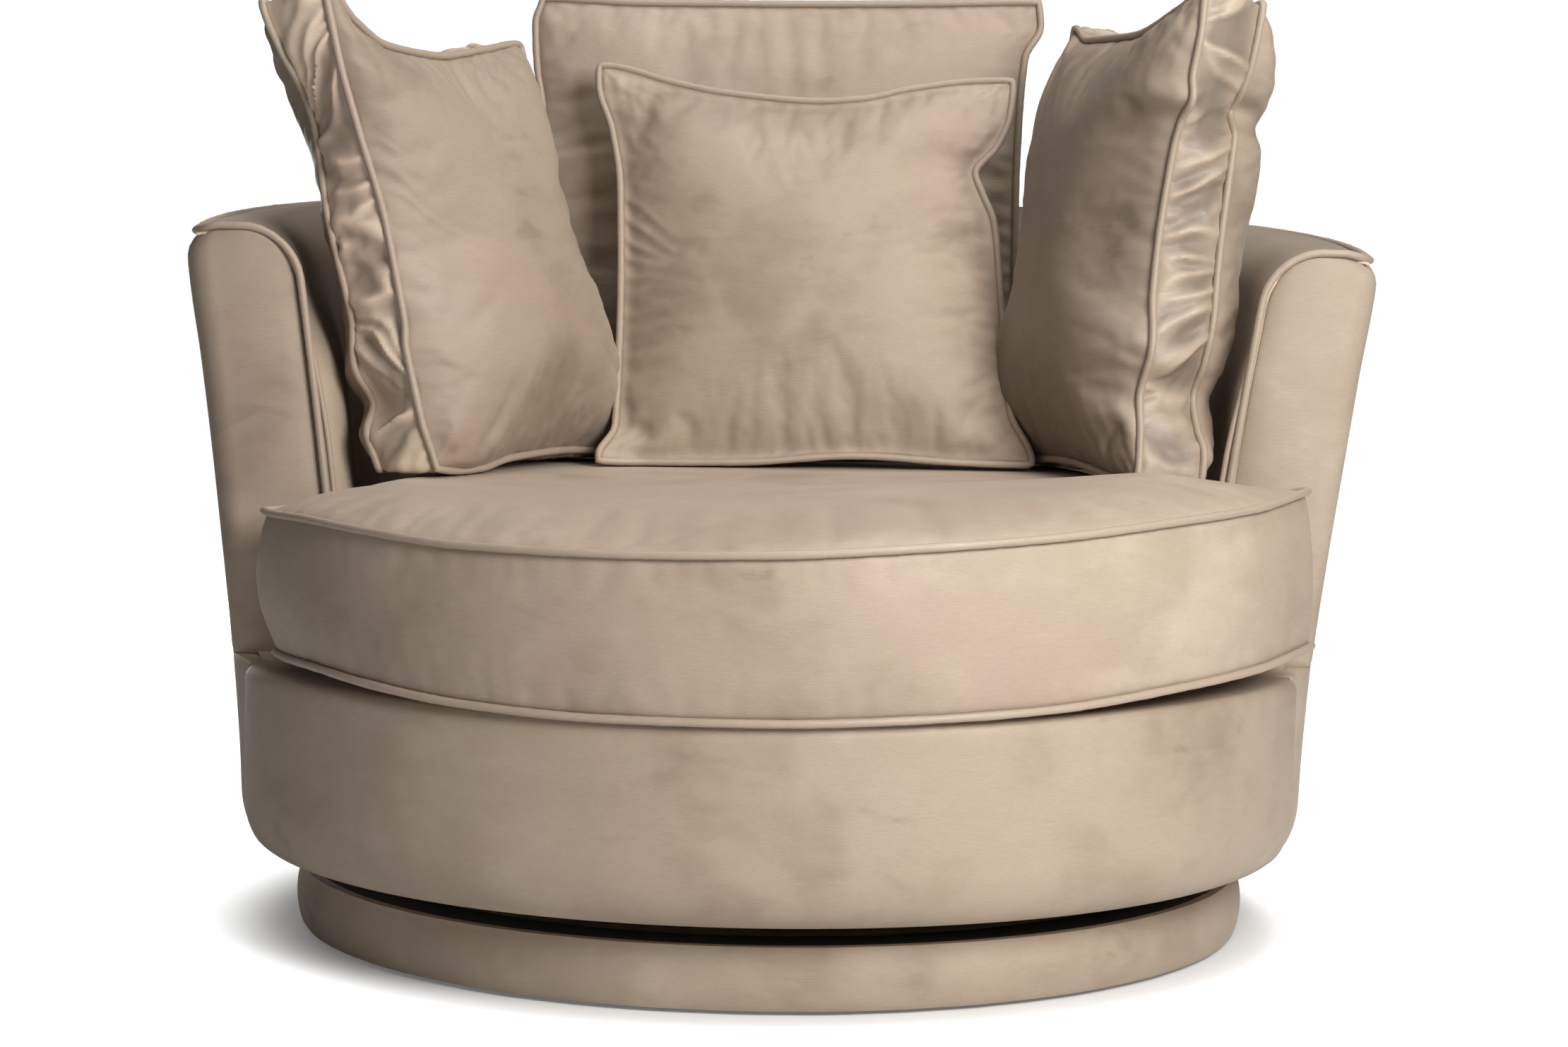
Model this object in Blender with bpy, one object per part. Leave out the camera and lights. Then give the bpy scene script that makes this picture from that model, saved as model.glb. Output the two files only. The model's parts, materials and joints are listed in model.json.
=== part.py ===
"""Round swivel armchair with an upholstered plinth, a ball race, a tub shell and loose cushions.

Units are metres and +Z is up. The sitter faces -Y, and the swivel turns about the Z axis.
The floor is at z = 0.
"""

import math

import bmesh
import bpy
from mathutils import Matrix, Vector
from mathutils.bvhtree import BVHTree

# Clearances between touching pieces
GAP = 0.0003
LAYER_GAP = 0.0006
PIPING_GAP = 0.0005
CUSHION_CLEARANCE = 0.003

# Plinth
PLINTH_RADIUS = 0.496
PLINTH_FOOT_INSET = 0.009
PLINTH_HEIGHT = 0.064
PLINTH_PADDING = 0.014
PLINTH_WALL = 0.020
PLINTH_BOARD = 0.015
COVER_LIP = 0.003
LIP_REACH = 0.045
GLIDE_COUNT = 6
GLIDE_RADIUS = 0.011
GLIDE_HEIGHT = 0.004

# Ball-race swivel
SWIVEL_GAP = 0.021
SWIVEL_HEIGHT = 0.0145
SWIVEL_RADIUS = 0.165
SWIVEL_BORE = 0.095
SWIVEL_PLATE = 0.003
RACE_RADIUS = 0.128
RACE_LIP = 0.0015
RACE_LIP_WIDTH = 0.0025
RACE_PLAY = 0.0008
BALL_COUNT = 8
CAGE_WIDTH = 0.009
CAGE_THICKNESS = 0.002
SPACER_RADIUS = 0.190
BOLT_COUNT = 4
BOLT_CIRCLE = 0.151
BOLT_RADIUS = 0.003
BOLT_HEAD_RADIUS = 0.0055
BOLT_HEAD_HEIGHT = 0.0028
BOLT_LENGTH = 0.010
BOLT_CLEARANCE = 0.0005

# Seat box, which the photograph shows as a drum
DRUM_RADIUS = 0.554
DRUM_EDGE_INSET = 0.031
DRUM_EDGE_HEIGHT = 0.060
DRUM_TOP_EDGE = 0.008
DECK_HEIGHT = 0.280
BOX_PADDING = 0.004
BOX_WALL = 0.020
BOX_BOARD = 0.018
DECK_LIP_REACH = 0.085
SPRING_PAD = 0.012
SPRING_COUNT = 4
SPRING_SHARE = 0.290
SPRING_WIRE = 0.004
SPRING_WIDTH = 0.044
SPRING_WAVES = 5
RAIL_WIDTH = 0.030
RAIL_HEIGHT = 0.040
RAIL_SHARE = 0.732
DUST_CLOTH = 0.0015

# Tub shell
TUB_HALF_WIDTH = 0.613
TUB_HALF_DEPTH = 0.565
TUB_SQUARENESS = 2.3
ARM_HEIGHT = 0.710
BACK_RISE = 0.055
FACING_Y = -0.110
FACING_CORNER = 0.029
WALL_THICKNESS = 0.107
WALL_PADDING = 0.030
WALL_PLY = 0.018
CAP_THICKNESS = 0.030
ROLL_RADIUS = 0.050
SEAM_DROP = 0.006

# Cushions
PIPING_RADIUS = 0.004
SEAT_FRONT = 0.565
SEAT_WING_HALF_WIDTH = 0.520
SEAT_SEAM_LOW = 0.006
SEAT_SEAM_HIGH = 0.153
SEAT_CROWN = 0.034
SEAT_BULGE = 0.006
SEAT_CENTRE_Y = -0.040
BACK_WIDTH = 0.550
BACK_HEIGHT = 0.525
BACK_BOXING = 0.080
BACK_LEAN = math.radians(11.5)
BACK_CROWN = 0.034
SIDE_LENGTH = 0.380
SIDE_HEIGHT = 0.485
SIDE_BOXING = 0.066
SIDE_CROWN = 0.034
LEFT_TURN = math.radians(27.0)
LEFT_LEAN = math.radians(14.3)
LEFT_ARM_GAP = 0.044
RIGHT_TURN = math.radians(18.0)
RIGHT_LEAN = math.radians(7.8)
RIGHT_ARM_GAP = 0.006
SCATTER_SIZE = 0.455
SCATTER_EDGE = 0.004
SCATTER_CROWN = 0.055
SCATTER_LEAN = math.radians(21.0)
SCATTER_OFFSET = 0.033
DRAW_IN = 0.012
BOXING_BULGE = 0.004

# Facet counts
ROUND_SEGMENTS = 40
PLATE_SEGMENTS = 24
BOLT_SEGMENTS = 6
HOLE_SEGMENTS = 12
WALL_STEPS = 12
SETTLING_STEPS = 16

# Sizes that follow from the ones above
PLINTH_FRAME_RADIUS = PLINTH_RADIUS - PLINTH_PADDING
PLINTH_BOARD_TOP = PLINTH_HEIGHT - COVER_LIP - GAP
DRUM_BOTTOM = PLINTH_HEIGHT + SWIVEL_GAP
BOX_RADIUS = DRUM_RADIUS - DRUM_EDGE_INSET - BOX_PADDING
RAIL_OFFSET = RAIL_SHARE * BOX_RADIUS
SPRING_PITCH = SPRING_SHARE * BOX_RADIUS
BOX_BOARD_BOTTOM = DRUM_BOTTOM + COVER_LIP + GAP
BOX_BOARD_TOP = BOX_BOARD_BOTTOM + BOX_BOARD
DECK_UNDERSIDE = DECK_HEIGHT - COVER_LIP - GAP
DECK_LIP_RADIUS = BOX_RADIUS - DECK_LIP_REACH
SWIVEL_BOTTOM = PLINTH_BOARD_TOP + GAP
SWIVEL_TOP = SWIVEL_BOTTOM + SWIVEL_HEIGHT
WALL_BASE = DECK_HEIGHT + GAP
WALL_START_Y = FACING_Y + WALL_PADDING + LAYER_GAP
FRAME_INSET = WALL_PADDING + LAYER_GAP
PAD_INSET = FRAME_INSET + WALL_PLY + LAYER_GAP
PIPING_OFFSET = PIPING_RADIUS + PIPING_GAP
PIPING_REACH = PIPING_OFFSET + PIPING_RADIUS
ROLL_ANGLES = [math.radians(angle) for angle in (0.0, 30.0, 60.0, 90.0)]
CORNER_ANGLES = [math.radians(angle) for angle in (0.0, 30.0, 60.0, 90.0)]


def clear_scene():
    """Removes every object that a new file starts with."""
    for item in list(bpy.data.objects):
        bpy.data.objects.remove(item, do_unlink=True)


def make_material(name, colour, roughness, metallic=0.0):
    """Makes a plain Principled material."""
    material = bpy.data.materials.new(name)
    material.use_nodes = True
    shader = material.node_tree.nodes["Principled BSDF"]
    shader.inputs["Base Color"].default_value = (*colour, 1.0)
    shader.inputs["Roughness"].default_value = roughness
    shader.inputs["Metallic"].default_value = metallic
    material.diffuse_color = (*colour, 1.0)
    return material


def make_empty(name, frame=None, parent=None):
    """Makes an empty that carries the pieces of one body, at the body's own place."""
    empty = bpy.data.objects.new(name, None)
    empty.empty_display_size = 0.1
    bpy.context.scene.collection.objects.link(empty)
    empty.parent = parent
    if frame is not None:
        empty.matrix_local = frame
    return empty


def add_object(name, data, material, parent):
    """Links a mesh or a curve as a named object under a parent empty."""
    data.materials.append(material)
    item = bpy.data.objects.new(name, data)
    item.parent = parent
    bpy.context.scene.collection.objects.link(item)
    return item


def add_mesh(name, bm, material, parent, smooth_angle=40.0):
    """Turns a closed bmesh into a named object, with its faces out and its round sides smooth."""
    bmesh.ops.recalc_face_normals(bm, faces=bm.faces)
    mesh = bpy.data.meshes.new(name)
    bm.to_mesh(mesh)
    bm.free()
    mesh.shade_smooth()
    mesh.set_sharp_from_angle(angle=math.radians(smooth_angle))
    return add_object(name, mesh, material, parent)


def split_quad(low_here, high_here, high_there, low_there):
    """Splits a twisted quad along its rising diagonal, so that nested layers fold alike."""
    if low_here.co.z > high_here.co.z:
        return (low_here, high_here, low_there), (high_here, high_there, low_there)
    return (low_here, high_here, high_there), (low_here, high_there, low_there)


def bridge_rings(rings, closed, twisted=False):
    """Joins rings of points into one closed skin, round on itself or with a cap at each end."""
    bm = bmesh.new()
    loops = [[bm.verts.new(point) for point in ring] for ring in rings]
    count = len(loops[0])
    pairs = list(zip(loops, loops[1:]))
    if closed:
        pairs.append((loops[-1], loops[0]))
    for here, there in pairs:
        for index in range(count):
            after = (index + 1) % count
            corners = (here[index], here[after], there[after], there[index])
            for face in split_quad(*corners) if twisted else (corners,):
                bm.faces.new(face)
    if not closed:
        bm.faces.new(loops[0])
        bm.faces.new(loops[-1])
    return bm


def circle(radius, height, segments, centre=(0.0, 0.0), phase=0.0):
    """Gives the points of a level circle."""
    points = []
    for index in range(segments):
        angle = phase + math.tau * index / segments
        x = centre[0] + radius * math.cos(angle)
        y = centre[1] + radius * math.sin(angle)
        points.append((x, y, height))
    return points


def turned_ring(profile, segments):
    """Spins a closed profile of (radius, height) points about the Z axis."""
    rings = []
    for index in range(segments):
        angle = math.tau * index / segments
        rings.append([(r * math.cos(angle), r * math.sin(angle), z) for r, z in profile])
    return bridge_rings(rings, closed=True)


def turned_solid(levels, segments, centre=(0.0, 0.0), phase=0.0):
    """Stacks circles of (radius, height) into a solid of revolution with flat ends."""
    rings = [circle(r, z, segments, centre, phase) for r, z in levels]
    return bridge_rings(rings, closed=False)


def add_tube(name, points, radius, material, parent, cyclic, sides_step=1):
    """Makes a round tube along a chain of points."""
    curve = bpy.data.curves.new(name, "CURVE")
    curve.dimensions = "3D"
    curve.bevel_depth = radius
    curve.bevel_resolution = sides_step
    curve.use_fill_caps = not cyclic
    spline = curve.splines.new("POLY")
    spline.points.add(len(points) - 1)
    for slot, point in zip(spline.points, points):
        slot.co = (*point, 1.0)
    spline.use_cyclic_u = cyclic
    spline.use_smooth = True
    return add_object(name, curve, material, parent)


def add_cutter(name, bm, parent):
    """Adds a guide body that only cuts or joins other pieces."""
    mesh = bpy.data.meshes.new(name)
    bmesh.ops.recalc_face_normals(bm, faces=bm.faces)
    bm.to_mesh(mesh)
    bm.free()
    cutter = bpy.data.objects.new(name, mesh)
    cutter.parent = parent
    cutter.hide_render = True
    cutter.display_type = "WIRE"
    bpy.context.scene.collection.objects.link(cutter)
    return cutter


def add_boolean(item, cutter, operation):
    """Cuts or joins one piece with a guide body."""
    modifier = item.modifiers.new(operation.title(), "BOOLEAN")
    modifier.operation = operation
    modifier.solver = "EXACT"
    modifier.object = cutter


def bolt_places(phase):
    """Gives the centres of one plate's bolts."""
    places = []
    for index in range(BOLT_COUNT):
        angle = phase + math.tau * index / BOLT_COUNT
        places.append((BOLT_CIRCLE * math.cos(angle), BOLT_CIRCLE * math.sin(angle)))
    return places


def bolt_hole_cutter(name, phase, bottom, top, parent):
    """Makes one guide body with a round column at each bolt of a plate."""
    columns = bmesh.new()
    for centre in bolt_places(phase):
        column = turned_solid(
            [(BOLT_RADIUS + BOLT_CLEARANCE, bottom), (BOLT_RADIUS + BOLT_CLEARANCE, top)],
            HOLE_SEGMENTS,
            centre,
        )
        scratch = bpy.data.meshes.new("column")
        column.to_mesh(scratch)
        column.free()
        columns.from_mesh(scratch)
        bpy.data.meshes.remove(scratch)
    return add_cutter(name, columns, parent)


def build_plinth(parent, materials):
    """Builds the upholstered plinth: glides, ring wall, top board and padded cover."""
    foot = PLINTH_RADIUS - PLINTH_FOOT_INSET
    frame = PLINTH_FRAME_RADIUS
    low = GLIDE_HEIGHT + GAP
    lip_top = low + COVER_LIP
    lip_radius = frame - LIP_REACH
    swell = PLINTH_RADIUS - foot
    profile = [(lip_radius, low), (foot, low)]
    for step in (1, 2, 3, 4, 5):
        rise = step / 6
        bow = math.sin(math.pi * (0.12 + 0.76 * rise)) ** 0.6
        profile.append((foot + swell * bow, low + (PLINTH_HEIGHT - low) * rise))
    profile += [
        (foot, PLINTH_HEIGHT),
        (lip_radius, PLINTH_HEIGHT),
        (lip_radius, PLINTH_HEIGHT - COVER_LIP),
        (frame + GAP, PLINTH_HEIGHT - COVER_LIP),
        (frame + GAP, lip_top),
        (lip_radius, lip_top),
    ]
    add_mesh("plinth_cover", turned_ring(profile, ROUND_SEGMENTS), materials["velvet"], parent)

    board_bottom = PLINTH_BOARD_TOP - PLINTH_BOARD
    wall = [
        (frame - PLINTH_WALL, lip_top + GAP),
        (frame, lip_top + GAP),
        (frame, board_bottom - GAP),
        (frame - PLINTH_WALL, board_bottom - GAP),
    ]
    add_mesh("plinth_ring_frame", turned_ring(wall, ROUND_SEGMENTS), materials["plywood"], parent)
    levels = [(frame, board_bottom), (frame, PLINTH_BOARD_TOP)]
    board = add_mesh(
        "plinth_top_board", turned_solid(levels, ROUND_SEGMENTS), materials["plywood"], parent
    )
    cutter = bolt_hole_cutter(
        "plinth_board_holes", 0.0, board_bottom - PLINTH_BOARD, SWIVEL_TOP, parent
    )
    add_boolean(board, cutter, "DIFFERENCE")

    track = (lip_radius + foot) / 2
    for index in range(GLIDE_COUNT):
        angle = math.tau * (index + 0.5) / GLIDE_COUNT
        centre = (track * math.cos(angle), track * math.sin(angle))
        levels = [
            (GLIDE_RADIUS * 0.8, 0.0),
            (GLIDE_RADIUS, GLIDE_HEIGHT * 0.35),
            (GLIDE_RADIUS, GLIDE_HEIGHT),
        ]
        glide = turned_solid(levels, 10, centre)
        add_mesh(f"glide_{index + 1}", glide, materials["nylon"], parent)
    return cutter


def race_plate(bottom, facing_up):
    """Gives one swivel plate: a flat ring with two raised lips that keep the balls in line."""
    ball = ball_radius()
    inner = RACE_RADIUS - ball - RACE_PLAY
    outer = RACE_RADIUS + ball + RACE_PLAY
    top = bottom + SWIVEL_PLATE
    face = top if facing_up else bottom
    back = bottom if facing_up else top
    lip = face + RACE_LIP if facing_up else face - RACE_LIP
    return [
        (SWIVEL_BORE, back),
        (SWIVEL_RADIUS, back),
        (SWIVEL_RADIUS, face),
        (outer + RACE_LIP_WIDTH, face),
        (outer + RACE_LIP_WIDTH, lip),
        (outer, lip),
        (outer, face),
        (inner, face),
        (inner, lip),
        (inner - RACE_LIP_WIDTH, lip),
        (inner - RACE_LIP_WIDTH, face),
        (SWIVEL_BORE, face),
    ]


def ball_radius():
    """Gives the radius of the balls that just fit between the two plates."""
    return (SWIVEL_HEIGHT - 2 * SWIVEL_PLATE) / 2 - GAP


def add_bolts(prefix, phase, face, downwards, material, parent):
    """Adds the bolts of one swivel plate, with their heads on the plate's open face."""
    way = -1.0 if downwards else 1.0
    head = face - way * (BOLT_HEAD_HEIGHT + GAP)
    for index, centre in enumerate(bolt_places(phase)):
        seat = face - way * GAP
        levels = [
            (BOLT_HEAD_RADIUS, head),
            (BOLT_HEAD_RADIUS, seat),
            (BOLT_RADIUS, seat),
            (BOLT_RADIUS, seat + way * BOLT_LENGTH),
        ]
        bolt = turned_solid(levels, BOLT_SEGMENTS, centre)
        add_mesh(f"{prefix}_{index + 1}", bolt, material, parent)


def build_swivel(base, ring_axis, seat_axis, materials, lower_cutter):
    """Builds the ball race: a lower plate, a caged ring of balls and an upper plate."""
    upper_phase = math.pi / BOLT_COUNT
    lower = race_plate(SWIVEL_BOTTOM, facing_up=True)
    plate = add_mesh(
        "swivel_lower_plate", turned_ring(lower, PLATE_SEGMENTS), materials["steel"], base
    )
    add_boolean(plate, lower_cutter, "DIFFERENCE")
    add_bolts("lower_bolt", 0.0, SWIVEL_BOTTOM + SWIVEL_PLATE, True, materials["zinc"], base)

    middle = SWIVEL_BOTTOM + SWIVEL_HEIGHT / 2
    cage = [
        (RACE_RADIUS - CAGE_WIDTH / 2, middle - CAGE_THICKNESS / 2),
        (RACE_RADIUS + CAGE_WIDTH / 2, middle - CAGE_THICKNESS / 2),
        (RACE_RADIUS + CAGE_WIDTH / 2, middle + CAGE_THICKNESS / 2),
        (RACE_RADIUS - CAGE_WIDTH / 2, middle + CAGE_THICKNESS / 2),
    ]
    ring = add_mesh(
        "swivel_ball_ring", turned_ring(cage, PLATE_SEGMENTS), materials["zinc"], ring_axis
    )
    balls = bmesh.new()
    for index in range(BALL_COUNT):
        angle = math.tau * (index + 0.37) / BALL_COUNT
        place = Vector((RACE_RADIUS * math.cos(angle), RACE_RADIUS * math.sin(angle), middle))
        bmesh.ops.create_uvsphere(
            balls,
            u_segments=8,
            v_segments=6,
            radius=ball_radius(),
            matrix=Matrix.Translation(place),
        )
    add_boolean(ring, add_cutter("ball_guides", balls, ring_axis), "UNION")

    plate_bottom = SWIVEL_TOP - SWIVEL_PLATE
    upper = race_plate(plate_bottom, facing_up=False)
    plate = add_mesh(
        "swivel_upper_plate", turned_ring(upper, PLATE_SEGMENTS), materials["steel"], seat_axis
    )
    spacer_bottom = SWIVEL_TOP + GAP
    levels = [(SPACER_RADIUS, spacer_bottom), (SPACER_RADIUS, BOX_BOARD_BOTTOM - GAP)]
    spacer = add_mesh(
        "swivel_spacer_board", turned_solid(levels, PLATE_SEGMENTS), materials["plywood"], seat_axis
    )
    cutter = bolt_hole_cutter(
        "upper_holes", upper_phase, SWIVEL_BOTTOM, BOX_BOARD_BOTTOM + BOX_BOARD / 2, seat_axis
    )
    add_boolean(plate, cutter, "DIFFERENCE")
    add_boolean(spacer, cutter, "DIFFERENCE")
    add_bolts("upper_bolt", upper_phase, plate_bottom, False, materials["zinc"], seat_axis)


def drum_profile():
    """Gives the padded cover of the seat box: bottom lip, rounded side and deck lip."""
    lip_radius = BOX_RADIUS - LIP_REACH
    profile = [(lip_radius, DRUM_BOTTOM)]
    for step in range(6):
        angle = math.pi / 2 * step / 5
        radius = DRUM_RADIUS - DRUM_EDGE_INSET * (1 - math.sin(angle))
        profile.append((radius, DRUM_BOTTOM + DRUM_EDGE_HEIGHT * (1 - math.cos(angle))))
    profile += [
        (DRUM_RADIUS, DECK_HEIGHT - DRUM_TOP_EDGE),
        (DRUM_RADIUS - DRUM_TOP_EDGE * 0.3, DECK_HEIGHT - DRUM_TOP_EDGE * 0.3),
        (DRUM_RADIUS - DRUM_TOP_EDGE, DECK_HEIGHT),
        (DECK_LIP_RADIUS, DECK_HEIGHT),
        (DECK_LIP_RADIUS, DECK_HEIGHT - COVER_LIP),
        (BOX_RADIUS + GAP, DECK_HEIGHT - COVER_LIP),
        (BOX_RADIUS + GAP, DRUM_BOTTOM + COVER_LIP),
        (lip_radius, DRUM_BOTTOM + COVER_LIP),
    ]
    return profile


def add_bar(name, size, centre, material, parent):
    """Adds a square-cut timber bar with eased edges."""
    bm = bmesh.new()
    place = Matrix.Translation(centre) @ Matrix.Diagonal((*size, 1.0))
    bmesh.ops.create_cube(bm, size=1.0, matrix=place)
    bar = add_mesh(name, bm, material, parent)
    bevel = bar.modifiers.new("Eased edges", "BEVEL")
    bevel.width = min(0.002, min(size) / 4)
    bevel.segments = 1
    return bar


def build_seat_box(parent, materials):
    """Builds the seat box: board, ring wall, rails, zigzag springs, pad, deck and cover."""
    cover = turned_ring(drum_profile(), ROUND_SEGMENTS)
    add_mesh("drum_cover", cover, materials["velvet"], parent)
    board = [(BOX_RADIUS, BOX_BOARD_BOTTOM), (BOX_RADIUS, BOX_BOARD_TOP)]
    add_mesh("seat_base_board", turned_solid(board, ROUND_SEGMENTS), materials["plywood"], parent)
    wall = [
        (BOX_RADIUS - BOX_WALL, BOX_BOARD_TOP + GAP),
        (BOX_RADIUS, BOX_BOARD_TOP + GAP),
        (BOX_RADIUS, DECK_UNDERSIDE),
        (BOX_RADIUS - BOX_WALL, DECK_UNDERSIDE),
    ]
    add_mesh("drum_ring_frame", turned_ring(wall, ROUND_SEGMENTS), materials["plywood"], parent)
    cloth_top = BOX_BOARD_BOTTOM - GAP
    cloth = [
        (SPACER_RADIUS + LAYER_GAP * 2, cloth_top - DUST_CLOTH),
        (BOX_RADIUS - LIP_REACH - LAYER_GAP, cloth_top - DUST_CLOTH),
        (BOX_RADIUS - LIP_REACH - LAYER_GAP, cloth_top),
        (SPACER_RADIUS + LAYER_GAP * 2, cloth_top),
    ]
    add_mesh("dust_cloth", turned_ring(cloth, ROUND_SEGMENTS), materials["cloth"], parent)

    pad_radius = DECK_LIP_RADIUS - GAP
    pad_bottom = DECK_UNDERSIDE - SPRING_PAD
    deck = [(pad_radius, DECK_UNDERSIDE + GAP), (pad_radius, DECK_HEIGHT)]
    add_mesh("deck_panel", turned_solid(deck, ROUND_SEGMENTS), materials["velvet"], parent)
    pad = [(pad_radius, pad_bottom), (pad_radius, DECK_UNDERSIDE)]
    add_mesh("spring_pad", turned_solid(pad, ROUND_SEGMENTS), materials["felt"], parent)

    spring_height = pad_bottom - GAP - SPRING_WIRE / 2
    rail_top = spring_height - SPRING_WIRE / 2 - GAP
    wall_reach = (BOX_RADIUS - BOX_WALL) * math.cos(math.pi / ROUND_SEGMENTS) - GAP
    rail_edge = RAIL_OFFSET + RAIL_WIDTH / 2
    rail_length = 2 * math.sqrt(wall_reach**2 - rail_edge**2)
    for name, side in (("front", -1.0), ("rear", 1.0)):
        centre = (0.0, side * RAIL_OFFSET, rail_top - RAIL_HEIGHT / 2)
        size = (rail_length, RAIL_WIDTH, RAIL_HEIGHT)
        add_bar(f"{name}_spring_rail", size, centre, materials["plywood"], parent)
    for index in range(SPRING_COUNT):
        middle = (index - (SPRING_COUNT - 1) / 2) * SPRING_PITCH
        points = zigzag_points(middle, spring_height)
        add_tube(
            f"zigzag_spring_{index + 1}",
            points,
            SPRING_WIRE / 2,
            materials["steel"],
            parent,
            cyclic=False,
            sides_step=0,
        )


def zigzag_points(middle, height):
    """Gives the route of one zigzag spring, which runs from rail to rail."""
    length = 2 * RAIL_OFFSET
    count = SPRING_WAVES * 4
    points = [(middle, -RAIL_OFFSET, height)]
    for index in range(count):
        phase = (index + 0.5) / count
        swing = 1.0 if math.sin(math.tau * SPRING_WAVES * phase) > 0 else -1.0
        points.append((middle + swing * SPRING_WIDTH / 2, -RAIL_OFFSET + length * phase, height))
    points.append((middle, RAIL_OFFSET, height))
    return points


def plan_sizes(z, inset):
    """Gives the half width, half depth and squareness of the tub at a height, inside its skin."""
    share = (z - DECK_HEIGHT) / (ARM_HEIGHT - DECK_HEIGHT)
    half_width = DRUM_RADIUS + share * (TUB_HALF_WIDTH - DRUM_RADIUS) - inset
    half_depth = DRUM_RADIUS + share * (TUB_HALF_DEPTH - DRUM_RADIUS) - inset
    return half_width, half_depth, 2 + max(share, 0.0) * (TUB_SQUARENESS - 2)


def plan_x(y, z, inset):
    """Gives how far the tub reaches sideways at a place along its depth."""
    half_width, half_depth, power = plan_sizes(z, inset)
    return half_width * (1 - min(abs(y) / half_depth, 1.0) ** power) ** (1 / power)


def plan_y(x, z, inset):
    """Gives how far the tub reaches back at a place across its width."""
    half_width, half_depth, power = plan_sizes(z, inset)
    return half_depth * (1 - min(abs(x) / half_width, 1.0) ** power) ** (1 / power)


def wall_point(side, share, z, inset, start_y=WALL_START_Y):
    """Gives a point of the tub wall, from its front end at share 0 to its back at share 1."""
    half_width, half_depth, power = plan_sizes(z, inset)
    start = math.asin(start_y / half_depth)
    turn = start + (math.pi / 2 - start) * share
    lengthways = min(abs(math.sin(turn)), 1.0)
    x = half_width * (1 - lengthways**power) ** (1 / power)
    return Vector((side * x, half_depth * math.sin(turn), z))


def wall_stations():
    """Gives the stations of the wall as (side, share), from the right arm round to the left."""
    shares = [index / WALL_STEPS for index in range(WALL_STEPS + 1)]
    right = [(1.0, share) for share in shares]
    left = [(-1.0, share) for share in reversed(shares[:-1])]
    return right + left


def rim_height(share):
    """Gives the height of the tub's top, which rises from the arms to the back."""
    y = wall_point(1.0, share, ARM_HEIGHT, 0.0).y
    return ARM_HEIGHT + BACK_RISE * (y - WALL_START_Y) / (TUB_HALF_DEPTH - WALL_START_Y)


def wall_rows():
    """Gives the heights that every layer of the wall shares."""
    reach = ARM_HEIGHT - ROLL_RADIUS - SEAM_DROP - WALL_BASE
    return [WALL_BASE + reach * share for share in (0.0, 0.33, 0.66, 0.96)]


def roll_drop(inset_from_edge):
    """Gives how far the rounded inner edge of the arm's top lies below the top."""
    rest = max(ROLL_RADIUS - inset_from_edge, 0.0)
    return ROLL_RADIUS - math.sqrt(max(ROLL_RADIUS**2 - rest**2, 0.0))


def facing_columns():
    """Gives the facing's columns as functions of height, from its inner edge to its corner."""
    columns = []
    for angle in ROLL_ANGLES:
        offset = ROLL_RADIUS * (1 - math.cos(angle))
        columns.append(lambda z, offset=offset: plan_x(FACING_Y, z, WALL_THICKNESS) + offset)
    columns.append(lambda z: plan_x(FACING_Y + FACING_CORNER, z, 0.0) - FACING_CORNER)
    return columns


def facing_top(x, corner_share):
    """Gives the top of the facing at a place across it, down to the seam at its outer corner."""
    edge = plan_x(FACING_Y, ARM_HEIGHT, WALL_THICKNESS)
    return ARM_HEIGHT - roll_drop(x - edge) - SEAM_DROP * corner_share


def cover_ring(outer_at, inner_at, outer_top, inner_top):
    """Gives one closed slice of the outer cover from its outer and inner lines."""
    rows = wall_rows()
    outer = [outer_at(z) for z in rows + [outer_top]]
    inner = [inner_at(z) for z in rows + [inner_top]]
    return outer + inner[::-1]


def facing_rings(side):
    """Gives the slices of one arm's front facing, from its inner edge round its outer corner."""
    back_y = FACING_Y + WALL_PADDING
    inner_edge = facing_columns()[0]
    inner_reach = len(ROLL_ANGLES) + len(CORNER_ANGLES)
    rings = []
    slots = []
    for column in facing_columns():
        slots.append((column, lambda z: FACING_Y, 0.0))
    for angle in CORNER_ANGLES[1:]:
        across = FACING_CORNER * math.sin(angle)
        along = FACING_CORNER * (1 - math.cos(angle))
        corner = facing_columns()[-1]
        slots.append(
            (
                lambda z, across=across, corner=corner: corner(z) + across,
                lambda z, along=along: FACING_Y + along,
                math.sin(angle),
            )
        )
    for index, (x_at, y_at, corner_share) in enumerate(slots):
        share = index / (inner_reach - 1)

        def inner_x(z, share=share):
            near = inner_edge(z)
            return near + share * (plan_x(WALL_START_Y, z, WALL_PADDING) - near)

        top = facing_top(x_at(ARM_HEIGHT), corner_share)
        inner_top = facing_top(inner_x(ARM_HEIGHT), corner_share)
        rings.append(
            cover_ring(
                lambda z, x_at=x_at, y_at=y_at: Vector((side * x_at(z), y_at(z), z)),
                lambda z, inner_x=inner_x: Vector((side * inner_x(z), back_y, z)),
                top,
                inner_top,
            )
        )
    return rings


def outer_cover_rings():
    """Gives every slice of the outer cover, from the right facing round to the left one."""
    middle = []
    for side, share in wall_stations():
        top = rim_height(share) - SEAM_DROP
        middle.append(
            cover_ring(
                lambda z, side=side, share=share: wall_point(side, share, z, 0.0),
                lambda z, side=side, share=share: wall_point(side, share, z, WALL_PADDING),
                top,
                top,
            )
        )
    return facing_rings(1.0) + middle + facing_rings(-1.0)[::-1]


def frame_rings():
    """Gives the slices of the bent plywood wall inside the tub."""
    rings = []
    for side, share in wall_stations():
        rows = wall_rows() + [rim_height(share) - CAP_THICKNESS - LAYER_GAP]
        outer = [wall_point(side, share, z, FRAME_INSET) for z in rows]
        inner = [wall_point(side, share, z, FRAME_INSET + WALL_PLY) for z in rows]
        rings.append(outer + inner[::-1])
    return rings


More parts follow.
